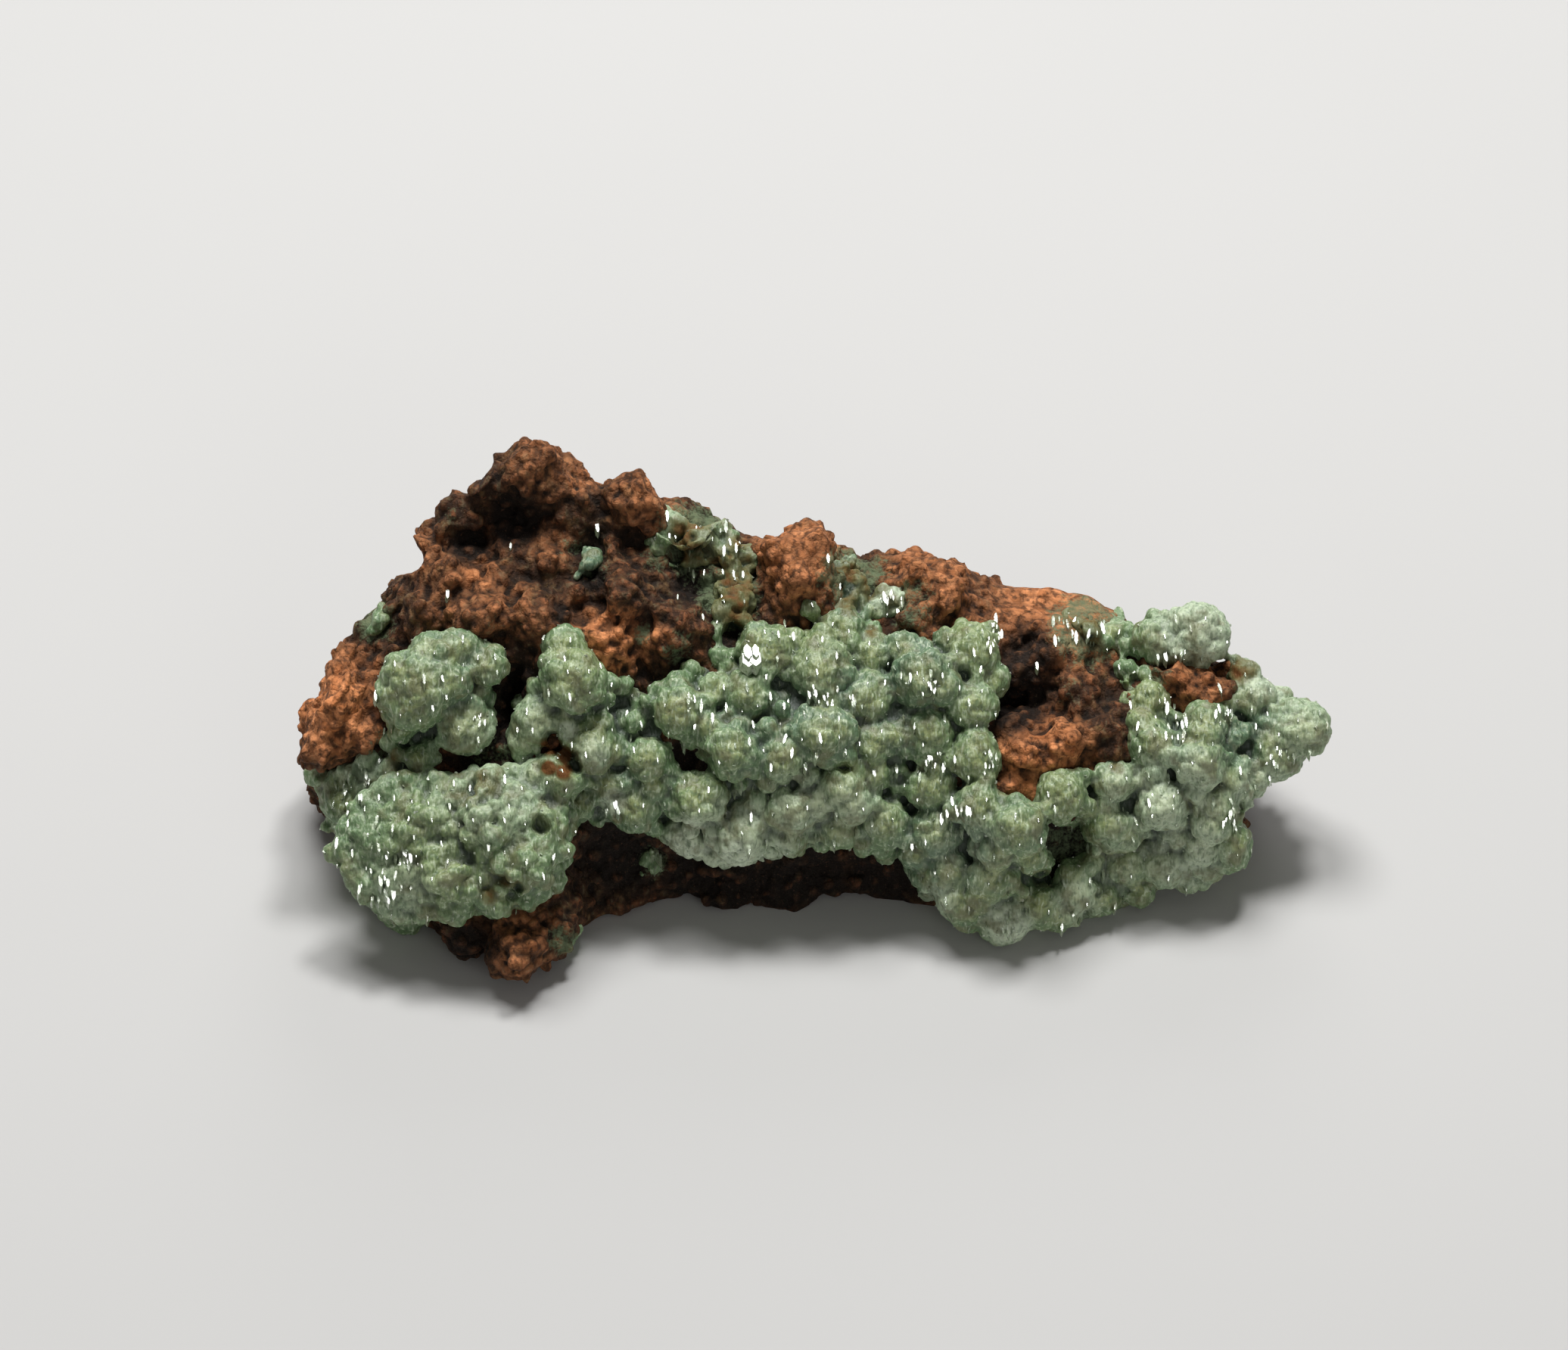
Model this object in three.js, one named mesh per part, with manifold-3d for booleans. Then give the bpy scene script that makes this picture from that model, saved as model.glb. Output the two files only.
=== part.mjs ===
// Adamite on limonite: a rusty, lumpy piece of limonite rock with a green
// botryoidal adamite crust over its sloping front face. Millimetres, Z up.
import * as THREE from 'three';
import { mergeVertices } from 'three/addons/utils/BufferGeometryUtils.js';
import { ConvexHull } from 'three/addons/math/ConvexHull.js';
import { ImprovedNoise } from 'three/addons/math/ImprovedNoise.js';
import Module from 'manifold-3d';

const wasm = await Module();
wasm.setup();

// Face frame
// The crusted face leans back by FACE_SLOPE. Places on it are given as
// [u, v, w]: u to the right, v up the slope, w straight out of the face.
const FACE_SLOPE = Math.PI / 4;
const FACE_MIDDLE_HEIGHT = 12;

// How finely the skin of the rock is stepped, along it, up its face and down its back
const STATION_STEP = 1.8;
const FACE_STEPS = 2;
const BACK_STEPS = 3;
const BASE_STEPS = 3;
const FINE_STEP = 1.2;
const FINE_FACE_STEPS = 9;
const END_POINT = 0.8;

// Cross section of the rock: shares of the way up its face, and of its height and bulge down its back
const FACE_SHARES = [0.27, 0.73];
const BACK_SHARES = [[0.75, 0.8], [0.4, 1], [0, 0.5]];
const FOOT_LEAN = 0.35;
const LEAST_FOOT = 1.5;
const ROUGHNESS = [
  { size: 6, height: 1.1, offset: [3.1, 0, 7.7] },
  { size: 2.4, height: 0.55, offset: [0, 5.3, 0] },
];

// Detailed face of the rock: where it ends, how deep its slab goes, and how densely it has points
const FACE_LEFT = -35;
const FACE_RIGHT = 32.4;
const FACE_DROP = 3.6;
const RIM_DROP = 0.9;
const RIM_DEPTH = 3;
const MIDDLE_DEPTH = 8;
const EDGE_INSET = 1;
const BARE_STEP = 2.3;
const COVERED_STEP = 3.8;
const OUTLINE_STEP = 1.6;
const LEAST_SPACING = 0.5;
const NET_HALF_WIDTH = 37;
const NET_HALF_HEIGHT = 19;
const NET_JITTER = 0.35;
const KNOT_RINGS = [[0.5, 5], [0.95, 7]];
const POCKET_RINGS = [[0.5, 6], [1.05, 9]];

// Crust: its thickness, how deep it reaches, and how it sits on the rock and clears the ground
const SEAT_GAP = 0.3;
const CRUST_STEP = 3;
const CRUST_THICKNESS = 1.1;
const CRUST_DEPTH = 2;
const CRUST_EDGE_THICKNESS = 0.4;
const CRUST_EDGE_DEPTH = 0.8;
const BALL_RINGS = [[0.52, 6], [0.93, 8]];
const BALL_SIT = 0.35;
const BALL_EDGE_THICKNESS = 0.5;
const GROUND_CLEARANCE = 0.2;

// Beyond everything: a height to look down from, and the block that cuts the flat base
const RAY_HEIGHT = 60;
const FLOOR_SIZE = 200;
const FLOOR_DEPTH = 40;

// Matrix: where the rock turns away at the top of the face, [u, v, w]
const TOP_EDGE = [
  [-35.6, 0.6, -2.6], [-34.6, 3.4, -2.4], [-33.2, 4.8, -2.0], [-31.6, 4.8, -2.2], [-30.3, 7.6, -2.6],
  [-29.4, 10.4, -3.0], [-28.3, 12.3, -3.2], [-25.6, 14.8, -3.0], [-23.0, 17.0, -2.6], [-21.3, 18.3, -2.2],
  [-19.5, 18.8, -2.0], [-17.2, 17.9, -2.2], [-15.0, 15.7, -3.2], [-12.8, 16.8, -2.4], [-11.0, 15.8, -2.6],
  [-7.2, 13.7, -3.2], [-4.4, 11.5, -3.6], [-2.9, 13.0, -2.6], [-1.2, 13.5, -2.4], [0.4, 13.1, -2.8],
  [1.6, 11.2, -3.4], [3.8, 10.6, -3.6], [6.5, 10.8, -3.2], [9.6, 10.5, -3.2], [11.5, 9.8, -3.4],
  [13.8, 8.3, -3.8], [17.0, 8.2, -3.6], [19.6, 7.5, -3.8], [22.4, 5.7, -4.2], [24.6, 5.2, -3.8],
  [27.5, 4.2, -3.6], [29.8, 2.9, -3.8], [31.4, 1.0, -3.6], [33.2, -0.2, -3.4], [34.4, -1.4, -3.4],
];

// Matrix: where it turns under at the foot of the face, [u, v, w]
const BOTTOM_EDGE = [
  [-35.6, -3.9, -3.2], [-34.6, -4.8, -3.4], [-33.2, -6.1, -3.6], [-31.4, -8.8, -3.4], [-29.4, -12.4, -3.0],
  [-27.4, -14.4, -1.8], [-25.1, -16.3, -0.6], [-22.9, -16.8, 0.2], [-21.6, -18.2, 1.5], [-20.5, -18.8, 2.0],
  [-19.3, -18.0, 1.4], [-17.5, -16.8, 0.0], [-16.2, -15.1, -1.6], [-14.0, -14.3, -2.4], [-11.0, -13.3, -3.2],
  [-8.3, -13.4, -3.2], [-5.1, -14.1, -2.6], [-3.0, -13.8, -2.9], [0.7, -13.3, -3.4], [5.2, -12.9, -3.7],
  [7.5, -13.0, -3.0], [10.9, -13.0, -1.8], [13.3, -13.4, -1.2], [17.0, -13.0, -1.8], [19.9, -12.4, -2.8],
  [22.0, -12.0, -4.2], [25.0, -11.7, -4.4], [28.2, -11.0, -4.6], [29.0, -8.4, -4.6], [29.8, -6.2, -4.8],
  [31.6, -4.4, -5.0], [33.2, -3.4, -4.6], [34.4, -2.4, -4.0],
];

// Matrix along its length: [x, crown of the face, bulge of the back, height of the underside]
const BODY = [
  [-35.6, 1.8, 1.4, 4.0], [-34.4, 2.8, 2.4, 1.4], [-32.0, 3.4, 3.0, -1.0], [-26.0, 4.0, 2.6, -2.5],
  [-18.0, 3.8, 1.8, -2.5], [-8.0, 4.4, 2.4, -2.5], [2.0, 4.8, 3.2, -2.5], [12.0, 4.4, 3.4, -2.5],
  [22.0, 4.0, 3.2, -2.5], [28.0, 3.6, 2.4, -1.0], [31.0, 3.2, 1.6, 3.0], [34.4, 1.4, 0.8, 6.6],
];

// Broad rises and hollows of the face: [u, v, half width, half height, rise]
const FACE_RELIEF = [
  [-24.5, -9.0, 8.5, 6.5, 1.5],    // dome under the lower left sheet
  [-25.5, 2.0, 5.0, 4.5, 1.6],     // boss under the left ball
  [-33.5, 0.0, 3.6, 5.6, 1.2],     // bare lobe at the left end
  [-5.0, -2.5, 17.0, 7.5, 2.0],    // swelling of the middle bank
  [-16.8, 2.5, 3.6, 5.0, 1.4],     // column left of the middle
  [-0.9, 10.8, 4.4, 3.8, 1.8],     // granular knob on the top edge
  [12.0, -9.5, 6.5, 5.0, 1.6],     // foot of the middle bank
  [27.5, -3.5, 6.5, 5.0, 1.2],     // right bank
  [-19.5, 15.8, 5.5, 3.4, 1.2],    // peak
  [-12.5, 14.2, 3.4, 3.0, 1.0],    // shoulder beside the peak
  [-22.6, 11.6, 3.4, 2.4, -1.6],   // hollow below the peak
  [-18.8, 12.8, 3.2, 2.0, -1.5],
  [-26.2, 11.0, 2.2, 3.0, -0.9],
  [-17.5, 8.6, 4.2, 1.6, -1.6],    // shadow under the ledge
  [-13.0, 6.8, 5.0, 3.0, 0.9],     // tongue of limonite
  [-20.9, 0.0, 2.8, 4.8, -3.4],    // gap between the left ball and the middle
  [-9.0, 9.4, 2.8, 2.6, -1.4],     // holes in the upper film
  [16.0, 1.2, 6.0, 5.6, -2.0],     // bare window
  [5.0, 7.6, 6.0, 3.2, -0.9],      // saddle right of the knob
  [17.5, -9.4, 2.8, 2.6, -2.6],    // cavity in the right bank
  [-5.0, -11.6, 12.0, 2.2, -2.2],  // recess below the middle bank
  [-15.0, -10.6, 5.0, 2.0, -1.6],
  [29.6, -1.6, 2.6, 2.2, -0.8],
];

// Deep pockets cut into the face: [u, v, half width, half height, depth]
const POCKETS = [
  [-23.6, 11.8, 1.5, 1.2, 1.8],
  [-20.8, 13.3, 1.7, 0.9, 2.0],
  [-18.3, 12.0, 1.1, 0.9, 1.6],
  [-17.2, 9.3, 1.9, 0.6, 1.4],
  [-20.7, 1.2, 1.4, 3.0, 2.4],
  [-8.5, 8.9, 1.3, 0.9, 1.8],
  [-5.7, 5.5, 0.9, 0.9, 1.8],
  [13.8, 0.6, 1.9, 1.4, 2.0],
  [14.4, 4.3, 1.3, 1.0, 1.5],
  [17.7, -9.4, 1.5, 1.5, 2.2],
  [-8.7, -3.3, 1.1, 1.2, 2.4],
  [-12.7, -9.2, 1.8, 0.9, 2.0],
];

// Limonite knots standing on the face: [u, v, radius]
const FACE_KNOTS = [
  [-19.8, 17.0, 2.4], [-22.4, 15.8, 1.9], [-25.1, 13.6, 1.9], [-27.6, 10.6, 2.0], [-16.7, 15.2, 2.0],
  [-12.4, 14.8, 2.1], [-14.6, 12.8, 1.8], [-25.2, 9.2, 1.8], [-18.2, 10.8, 1.7], [-27.0, 6.6, 1.7],
  [-23.0, 6.6, 1.9], [-19.6, 6.2, 1.9], [-16.4, 8.2, 1.8], [-12.8, 7.9, 1.9], [-14.6, 4.7, 1.8],
  [-9.8, 5.6, 1.7], [-13.6, 10.6, 1.7],
  [-33.4, 3.0, 1.6], [-33.3, 0.3, 2.4], [-34.3, -2.4, 2.0], [-31.4, -1.0, 1.8],
  [-2.2, 11.4, 2.0], [0.0, 11.2, 2.0], [-1.2, 9.2, 2.0],
  [6.9, 9.4, 1.8], [9.4, 8.2, 1.8], [7.2, 5.9, 1.5],
  [18.2, 1.0, 1.8], [14.2, -2.6, 1.8], [17.4, -2.0, 1.8], [20.6, -1.7, 1.6], [16.6, 3.8, 1.4],
  [26.8, 1.7, 1.4], [24.2, 2.3, 1.3],
  [-20.3, -16.6, 2.0], [-18.0, -15.2, 1.7], [-24.2, -15.2, 1.7],
];

// Rises and hollows of the back: [x, height, half width, half height, rise]
const BACK_RELIEF = [
  [-29.0, 7.0, 6.0, 5.0, 2.2], [-20.5, 12.5, 6.0, 4.6, 1.6], [-17.5, 6.5, 6.0, 5.5, 2.0],
  [-9.5, 12.5, 5.5, 4.5, 2.0], [-3.5, 5.0, 5.5, 4.0, 2.2], [3.5, 11.5, 5.5, 4.5, 1.8],
  [9.5, 4.5, 6.0, 4.5, 2.2], [15.5, 10.0, 5.0, 4.0, 1.6], [22.0, 5.0, 5.5, 4.0, 2.0],
  [-25.0, 11.0, 4.0, 3.0, -1.6], [-12.5, 3.0, 3.6, 3.4, -1.8], [-1.0, 9.0, 3.4, 2.6, -1.6],
  [12.5, 8.0, 3.2, 3.0, -1.6], [18.5, 3.5, 3.2, 3.0, -1.6],
];

// Adamite sheets: outlines of what they cover on the face, [u, v]
const SHEETS = {
  leftBoss: [
    [-30.2, -0.6], [-30.0, 2.6], [-28.2, 4.5], [-25.0, 5.6], [-22.0, 4.6], [-20.8, 3.2], [-22.4, 1.8],
    [-22.0, -1.4], [-23.4, -3.0], [-25.8, -2.4], [-27.0, -5.4], [-29.6, -5.4],
  ],
  lowerLeft: [
    [-34.6, -3.9], [-31.8, -2.8], [-29.4, -3.8], [-24.0, -4.6], [-20.9, -3.6], [-17.4, -5.6],
    [-15.6, -7.0], [-17.0, -9.2], [-17.6, -12.0], [-20.2, -13.7], [-25.6, -14.3], [-29.0, -15.0],
    [-30.8, -13.2], [-32.4, -9.6], [-34.2, -8.2], [-34.4, -6.0],
  ],
  middle: [
    [-21.0, -5.0], [-19.9, 1.6], [-18.7, 2.3], [-18.6, 4.9], [-16.4, 5.6], [-14.4, 2.6], [-11.4, 1.6],
    [-9.0, 3.2], [-6.8, 4.4], [-3.6, 5.6], [4.0, 5.0], [8.2, 5.0], [10.4, 6.2], [12.8, 5.8], [12.0, 1.4],
    [12.4, -5.0], [15.4, -6.4], [15.9, -11.0], [17.8, -12.6], [17.4, -14.8], [13.4, -16.0], [9.4, -13.8],
    [6.4, -11.0], [1.2, -9.0], [-2.0, -10.2], [-6.7, -10.8], [-9.6, -9.2], [-11.6, -8.4], [-17.2, -7.6],
    [-20.0, -6.6],
  ],
  upperFilm: [
    [-11.7, 11.2], [-10.8, 14.9], [-9.2, 14.6], [-4.9, 12.2], [-3.6, 10.6], [-4.0, 8.0], [-4.4, 4.4],
    [-6.6, 4.2], [-7.2, 7.4], [-7.0, 10.0], [-9.6, 10.2],
  ],
  saddle: [
    [-0.4, 7.6], [1.3, 10.6], [2.8, 10.4], [3.8, 8.3], [6.2, 8.6], [5.8, 6.6], [5.2, 4.4], [-0.4, 4.4],
  ],
  right: [
    [14.9, -5.6], [16.9, -4.2], [21.8, -3.6], [22.0, 2.0], [23.4, 1.4], [24.4, 0.1], [28.4, 0.4],
    [29.0, 3.6], [30.6, 3.5], [31.6, 1.6], [34.0, 0.8], [35.6, -0.8], [35.0, -2.8], [31.2, -5.6],
    [30.0, -7.0], [30.4, -9.4], [29.6, -10.8], [26.0, -11.4],
    [22.4, -13.6], [17.0, -15.2], [16.4, -11.6], [19.3, -11.2], [19.2, -7.8], [15.7, -7.6],
  ],
  topRight: [
    [17.0, 6.0], [17.4, 7.0], [20.6, 7.0], [22.4, 5.9], [24.4, 7.0], [26.6, 7.2], [28.4, 5.8],
    [28.2, 3.8], [26.4, 2.9], [23.6, 3.2], [22.8, 0.6], [21.2, 0.6], [20.9, 3.9],
  ],
};

// Adamite balls: [u, v, radius]
const BALLS = [
  // left boss
  [-27.2, 1.8, 2.7], [-24.1, -1.0, 2.1], [-25.0, 4.0, 1.6], [-22.6, 3.2, 1.5],
  // lower left sheet and its edge
  [-32.6, -6.2, 1.8], [-27.6, -7.4, 2.6], [-22.6, -7.6, 2.4], [-25.1, -11.0, 2.7], [-29.6, -11.6, 2.2],
  [-20.2, -10.6, 2.2], [-28.6, -13.6, 1.9], [-30.8, -8.6, 1.7], [-18.6, -7.6, 1.7], [-22.0, -12.4, 1.8],
  // column and the bank right of it
  [-19.0, -0.6, 1.9], [-16.7, 2.1, 2.4], [-15.6, -2.0, 2.1], [-17.3, 4.4, 1.6], [-17.6, -4.4, 1.8],
  [-14.4, -5.0, 1.6], [-11.6, -3.3, 1.7], [-12.6, -6.6, 1.9],
  // middle bank, upper rows
  [-9.5, 0.1, 1.9], [-5.7, -2.6, 2.0], [-2.2, -3.2, 1.8], [0.3, -1.6, 2.1], [-4.6, 1.2, 1.7],
  [-3.0, 4.1, 1.8], [0.4, 2.9, 2.2], [3.8, 0.8, 2.0], [3.8, 3.9, 1.7], [7.3, 2.4, 2.2],
  [10.8, 4.1, 1.9], [10.9, 0.4, 1.8], [7.8, -1.5, 1.7], [4.1, -2.2, 1.7],
  // middle bank, lower rows
  [-8.0, -6.0, 2.0], [-5.2, -8.4, 2.2], [-8.8, -8.6, 1.6], [-1.6, -6.8, 1.8], [1.9, -5.4, 1.8],
  [4.8, -7.6, 1.9], [1.6, -8.2, 1.5], [8.2, -5.2, 1.9], [11.2, -3.4, 1.8], [8.3, -8.3, 1.9],
  [11.4, -6.6, 1.9], [13.8, -8.0, 2.1], [9.4, -11.2, 1.8], [12.2, -11.4, 1.9], [10.6, -13.6, 1.6],
  [13.1, -14.4, 1.9], [15.6, -13.4, 1.8], [18.0, -12.6, 1.6], [19.9, -13.0, 1.4],
  // right bank
  [21.5, -10.6, 1.8], [24.1, -10.6, 1.7], [20.4, -7.6, 1.7], [16.9, -5.8, 1.8], [24.0, -6.4, 1.9],
  [20.6, -4.9, 1.6], [26.6, -3.6, 1.9], [23.4, -2.2, 1.8], [27.6, -6.6, 1.8], [26.7, -9.3, 1.7],
  [29.4, -9.3, 1.7], [23.3, 0.6, 1.5], [27.0, -0.8, 1.6], [30.3, 1.0, 1.7], [32.2, -3.2, 1.8],
  [33.9, -1.2, 2.0],
  // top right lobe
  [26.6, 5.3, 2.3], [23.8, 4.9, 1.7],
  // upper film and saddle
  [-8.4, 12.6, 1.6], [-5.9, 10.6, 1.6], [-5.4, 7.6, 1.5], [2.2, 8.2, 1.4], [5.4, 7.4, 1.5], [1.8, 5.8, 1.6],
];

// Where the middle bank leaves the matrix bare between its balls, [u, v]
const CRUST_GAPS = [
  [[-9.9, -3.0], [-9.2, -2.2], [-8.0, -2.5], [-7.7, -3.8], [-8.6, -4.6], [-9.6, -4.2]],
];

// Small adamite growths that stand apart from the crust: what they cover, and their balls
const PATCHES = {
  adamite_leaf: {
    outline: [[-16.9, 9.0], [-16.0, 11.4], [-14.6, 11.2], [-14.3, 9.4], [-15.4, 8.4]],
    balls: [[-15.6, 10.2, 1.1], [-15.0, 9.4, 0.9]],
  },
  adamite_left_rim: {
    outline: [[-31.2, 5.2], [-30.9, 6.4], [-30.2, 7.4], [-29.3, 7.0], [-29.7, 5.8], [-30.3, 5.0]],
    balls: [[-30.2, 6.2, 1.0]],
  },
  adamite_wall_bit: {
    outline: [[-12.3, -10.3], [-11.5, -9.7], [-10.4, -10.0], [-10.1, -11.0], [-11.0, -11.8], [-12.1, -11.4]],
    balls: [[-11.2, -10.7, 1.0]],
  },
  adamite_foot_bit: {
    outline: [[-18.3, -15.8], [-17.6, -14.9], [-16.6, -15.0], [-16.3, -16.0], [-17.2, -16.8]],
    balls: [[-17.2, -15.8, 1.1]],
  },
};

const noise = new ImprovedNoise();

function fromFace(u, v, w) {
  const y = v * Math.sin(FACE_SLOPE) - w * Math.cos(FACE_SLOPE);
  const z = v * Math.cos(FACE_SLOPE) + w * Math.sin(FACE_SLOPE) + FACE_MIDDLE_HEIGHT;
  return new THREE.Vector3(u, y, z);
}

function toFaceV(point) {
  return point.y * Math.sin(FACE_SLOPE) + (point.z - FACE_MIDDLE_HEIGHT) * Math.cos(FACE_SLOPE);
}

// Values of a table at x, straight between its rows
function along(table, x) {
  const last = table.length - 1;
  let i = 0;
  while (i < last - 1 && table[i + 1][0] < x) i += 1;
  const share = THREE.MathUtils.clamp((x - table[i][0]) / (table[i + 1][0] - table[i][0]), 0, 1);
  return table[i].map((value, k) => THREE.MathUtils.lerp(value, table[i + 1][k], share));
}

// Control points of the cross section at x, from the front foot over the top to the back foot
function section(x) {
  const [, bottomV, bottomW] = along(BOTTOM_EDGE, x);
  const [, topV, topW] = along(TOP_EDGE, x);
  const [, crown, bulge, underside] = along(BODY, x);
  const foot = fromFace(x, bottomV, bottomW);
  const top = fromFace(x, topV, topW);
  const low = Math.min(underside, foot.z - LEAST_FOOT);
  const face = FACE_SHARES.map((share) => fromFace(
    x,
    THREE.MathUtils.lerp(bottomV, topV, share),
    THREE.MathUtils.lerp(bottomW, topW, share) + crown,
  ));
  const back = BACK_SHARES.map(([share, out]) => new THREE.Vector3(
    x,
    top.y + out * bulge,
    THREE.MathUtils.lerp(low, top.z, share),
  ));
  return [new THREE.Vector3(x, foot.y + FOOT_LEAN * (foot.z - low), low), foot, ...face, top, ...back];
}

// Height at [a, b] of smooth round rises: [a, b, half width, half height, rise]
function rise(list, a, b) {
  let sum = 0;
  for (const [ca, cb, ra, rb, height] of list) {
    const q = ((a - ca) / ra) ** 2 + ((b - cb) / rb) ** 2;
    if (q < 1) sum += height * (1 - q) ** 2;
  }
  return sum;
}

function roughness(p) {
  return ROUGHNESS.reduce((sum, { size, height, offset: [dx, dy, dz] }) => (
    sum + height * noise.noise(p.x / size + dx, p.y / size + dy, p.z / size + dz)
  ), 0);
}

// Closed skin of the matrix, grown outward by `grow` and with its face sunk by `drop`
function skin({ grow = 0, drop = 0, stationStep = STATION_STEP, faceSteps = FACE_STEPS }) {
  const first = TOP_EDGE[0][0];
  const last = TOP_EDGE[TOP_EDGE.length - 1][0];
  const stations = Math.round((last - first) / stationStep);
  const face = Array(3).fill(faceSteps);
  const back = Array(3).fill(BACK_STEPS);
  const spans = [1, ...face, ...back, BASE_STEPS];
  const ring = spans.reduce((sum, steps) => sum + steps);
  const positions = [];
  for (let i = 0; i <= stations; i += 1) {
    const x = THREE.MathUtils.lerp(first, last, i / stations);
    const controls = section(x);
    const curve = new THREE.CatmullRomCurve3(controls, true, 'centripetal');
    const reach = controls[1].distanceTo(controls[4]);
    spans.forEach((steps, span) => {
      for (let k = 0; k < steps; k += 1) {
        const t = (span + k / steps) / spans.length;
        const p = curve.getPoint(t);
        const tangent = curve.getTangent(t);
        const out = new THREE.Vector3(0, -tangent.z, tangent.y);
        const share = (span - 1 + k / steps) / face.length;
        const onFace = share >= 0 && share < 1;
        const onBack = span >= 4 && span <= 6;
        let move = grow;
        if (onFace && drop) move -= Math.min(drop, reach / 4) * Math.sin(Math.PI * share);
        if (onFace && !drop) move += rise(FACE_RELIEF, x, toFaceV(p)) + roughness(p);
        if (onBack) move += rise(BACK_RELIEF, x, p.z) + roughness(p);
        p.addScaledVector(out, move);
        if (i === 0) p.x -= grow;
        if (i === stations) p.x += grow;
        positions.push(p.x, p.y, p.z);
      }
    });
  }
  return closeRings(positions, ring, stations + 1, grow);
}

// Joins rings of points into a closed mesh with a point at each end
function closeRings(positions, ring, rings, grow) {
  const index = [];
  for (let i = 0; i < rings - 1; i += 1) {
    for (let j = 0; j < ring; j += 1) {
      const a = i * ring + j;
      const b = i * ring + ((j + 1) % ring);
      index.push(a, a + ring, b, b, a + ring, b + ring);
    }
  }
  for (const [start, side] of [[0, -1], [(rings - 1) * ring, 1]]) {
    const centre = new THREE.Vector3();
    for (let j = 0; j < ring; j += 1) {
      centre.add(new THREE.Vector3().fromArray(positions, 3 * (start + j)));
    }
    centre.divideScalar(ring);
    centre.x += side * (END_POINT + grow);
    const tip = positions.length / 3;
    positions.push(centre.x, centre.y, centre.z);
    for (let j = 0; j < ring; j += 1) {
      const a = start + j;
      const b = start + ((j + 1) % ring);
      index.push(...(side < 0 ? [a, b, tip] : [b, a, tip]));
    }
  }
  const geometry = new THREE.BufferGeometry();
  geometry.setAttribute('position', new THREE.Float32BufferAttribute(positions, 3));
  geometry.setIndex(index);
  return geometry;
}

function toSolid(geometry) {
  const plain = geometry.clone();
  plain.deleteAttribute('normal');
  plain.deleteAttribute('uv');
  const merged = mergeVertices(plain, 1e-4);
  return new wasm.Manifold(new wasm.Mesh({
    numProp: 3,
    vertProperties: new Float32Array(merged.attributes.position.array),
    triVerts: new Uint32Array(merged.index.array),
  }));
}

function toMesh(name, solid, material) {
  const { vertProperties, triVerts } = solid.getMesh();
  const geometry = new THREE.BufferGeometry();
  geometry.setAttribute('position', new THREE.BufferAttribute(vertProperties, 3));
  geometry.setIndex(new THREE.BufferAttribute(triVerts, 1));
  geometry.computeVertexNormals();
  const mesh = new THREE.Mesh(geometry, material);
  mesh.name = name;
  return mesh;
}

// Point of the bare face at [u, v]; outside its edges the nearest place inside
const fineSkin = new THREE.Mesh(
  skin({ stationStep: FINE_STEP, faceSteps: FINE_FACE_STEPS }),
  new THREE.MeshStandardMaterial({ side: THREE.DoubleSide }),
);
const INTO_FACE = fromFace(0, 0, -1).sub(fromFace(0, 0, 0));

function bareHeight(u, v) {
  const insideU = THREE.MathUtils.clamp(u, FACE_LEFT, FACE_RIGHT);
  const [, low] = along(BOTTOM_EDGE, insideU);
  const [, high] = along(TOP_EDGE, insideU);
  const inset = Math.min(EDGE_INSET, 0.4 * (high - low));
  const insideV = THREE.MathUtils.clamp(v, low + inset, high - inset);
  const ray = new THREE.Raycaster(fromFace(insideU, insideV, RAY_HEIGHT), INTO_FACE);
  return RAY_HEIGHT - ray.intersectObject(fineSkin)[0].distance;
}

// True inside an outline on the face
function inside(outline, u, v) {
  let odd = false;
  outline.forEach(([u1, v1], i) => {
    const [u2, v2] = outline[(i + 1) % outline.length];
    if ((v1 > v) !== (v2 > v) && u < u1 + ((v - v1) / (v2 - v1)) * (u2 - u1)) odd = !odd;
  });
  return odd;
}

function insideAny(outlines, u, v) {
  return outlines.some((outline) => inside(outline, u, v));
}

// A ball on the face: its centre, raised from the rock by a share `sit` of its radius
function dome([u, v, radius], sit = 0) {
  return { u, v, radius, w: bareHeight(u, v) + sit * radius };
}

// Height w of the highest ball over [u, v], or minus infinity beside them all
function domeHeight(domes, u, v) {
  let highest = -Infinity;
  for (const one of domes) {
    const square = one.radius ** 2 - (u - one.u) ** 2 - (v - one.v) ** 2;
    if (square > 0) highest = Math.max(highest, one.w + Math.sqrt(square));
  }
  return highest;
}

// Lowest w over [u, v] that stays clear of the ground
function groundHeight(v) {
  return (GROUND_CLEARANCE - FACE_MIDDLE_HEIGHT - v * Math.cos(FACE_SLOPE)) / Math.sin(FACE_SLOPE);
}

// Depth of the pockets at [u, v]
function pocketDepth(u, v) {
  let deepest = 0;
  for (const [cu, cv, halfWidth, halfHeight, depth] of POCKETS) {
    const q = Math.hypot((u - cu) / halfWidth, (v - cv) / halfHeight);
    deepest = Math.max(deepest, depth * (1 - THREE.MathUtils.smoothstep(q, 0.5, 1)));
  }
  return deepest;
}

// Points on rings round a place: each ring is [share of the radii, count]
function rings([u, v], halfWidth, halfHeight, list) {
  const points = [];
  for (const [share, count] of list) {
    for (let k = 0; k < count; k += 1) {
      const angle = (2 * Math.PI * (k + share)) / count + u;
      points.push([u + share * halfWidth * Math.cos(angle), v + share * halfHeight * Math.sin(angle)]);
    }
  }
  return points;
}

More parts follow.
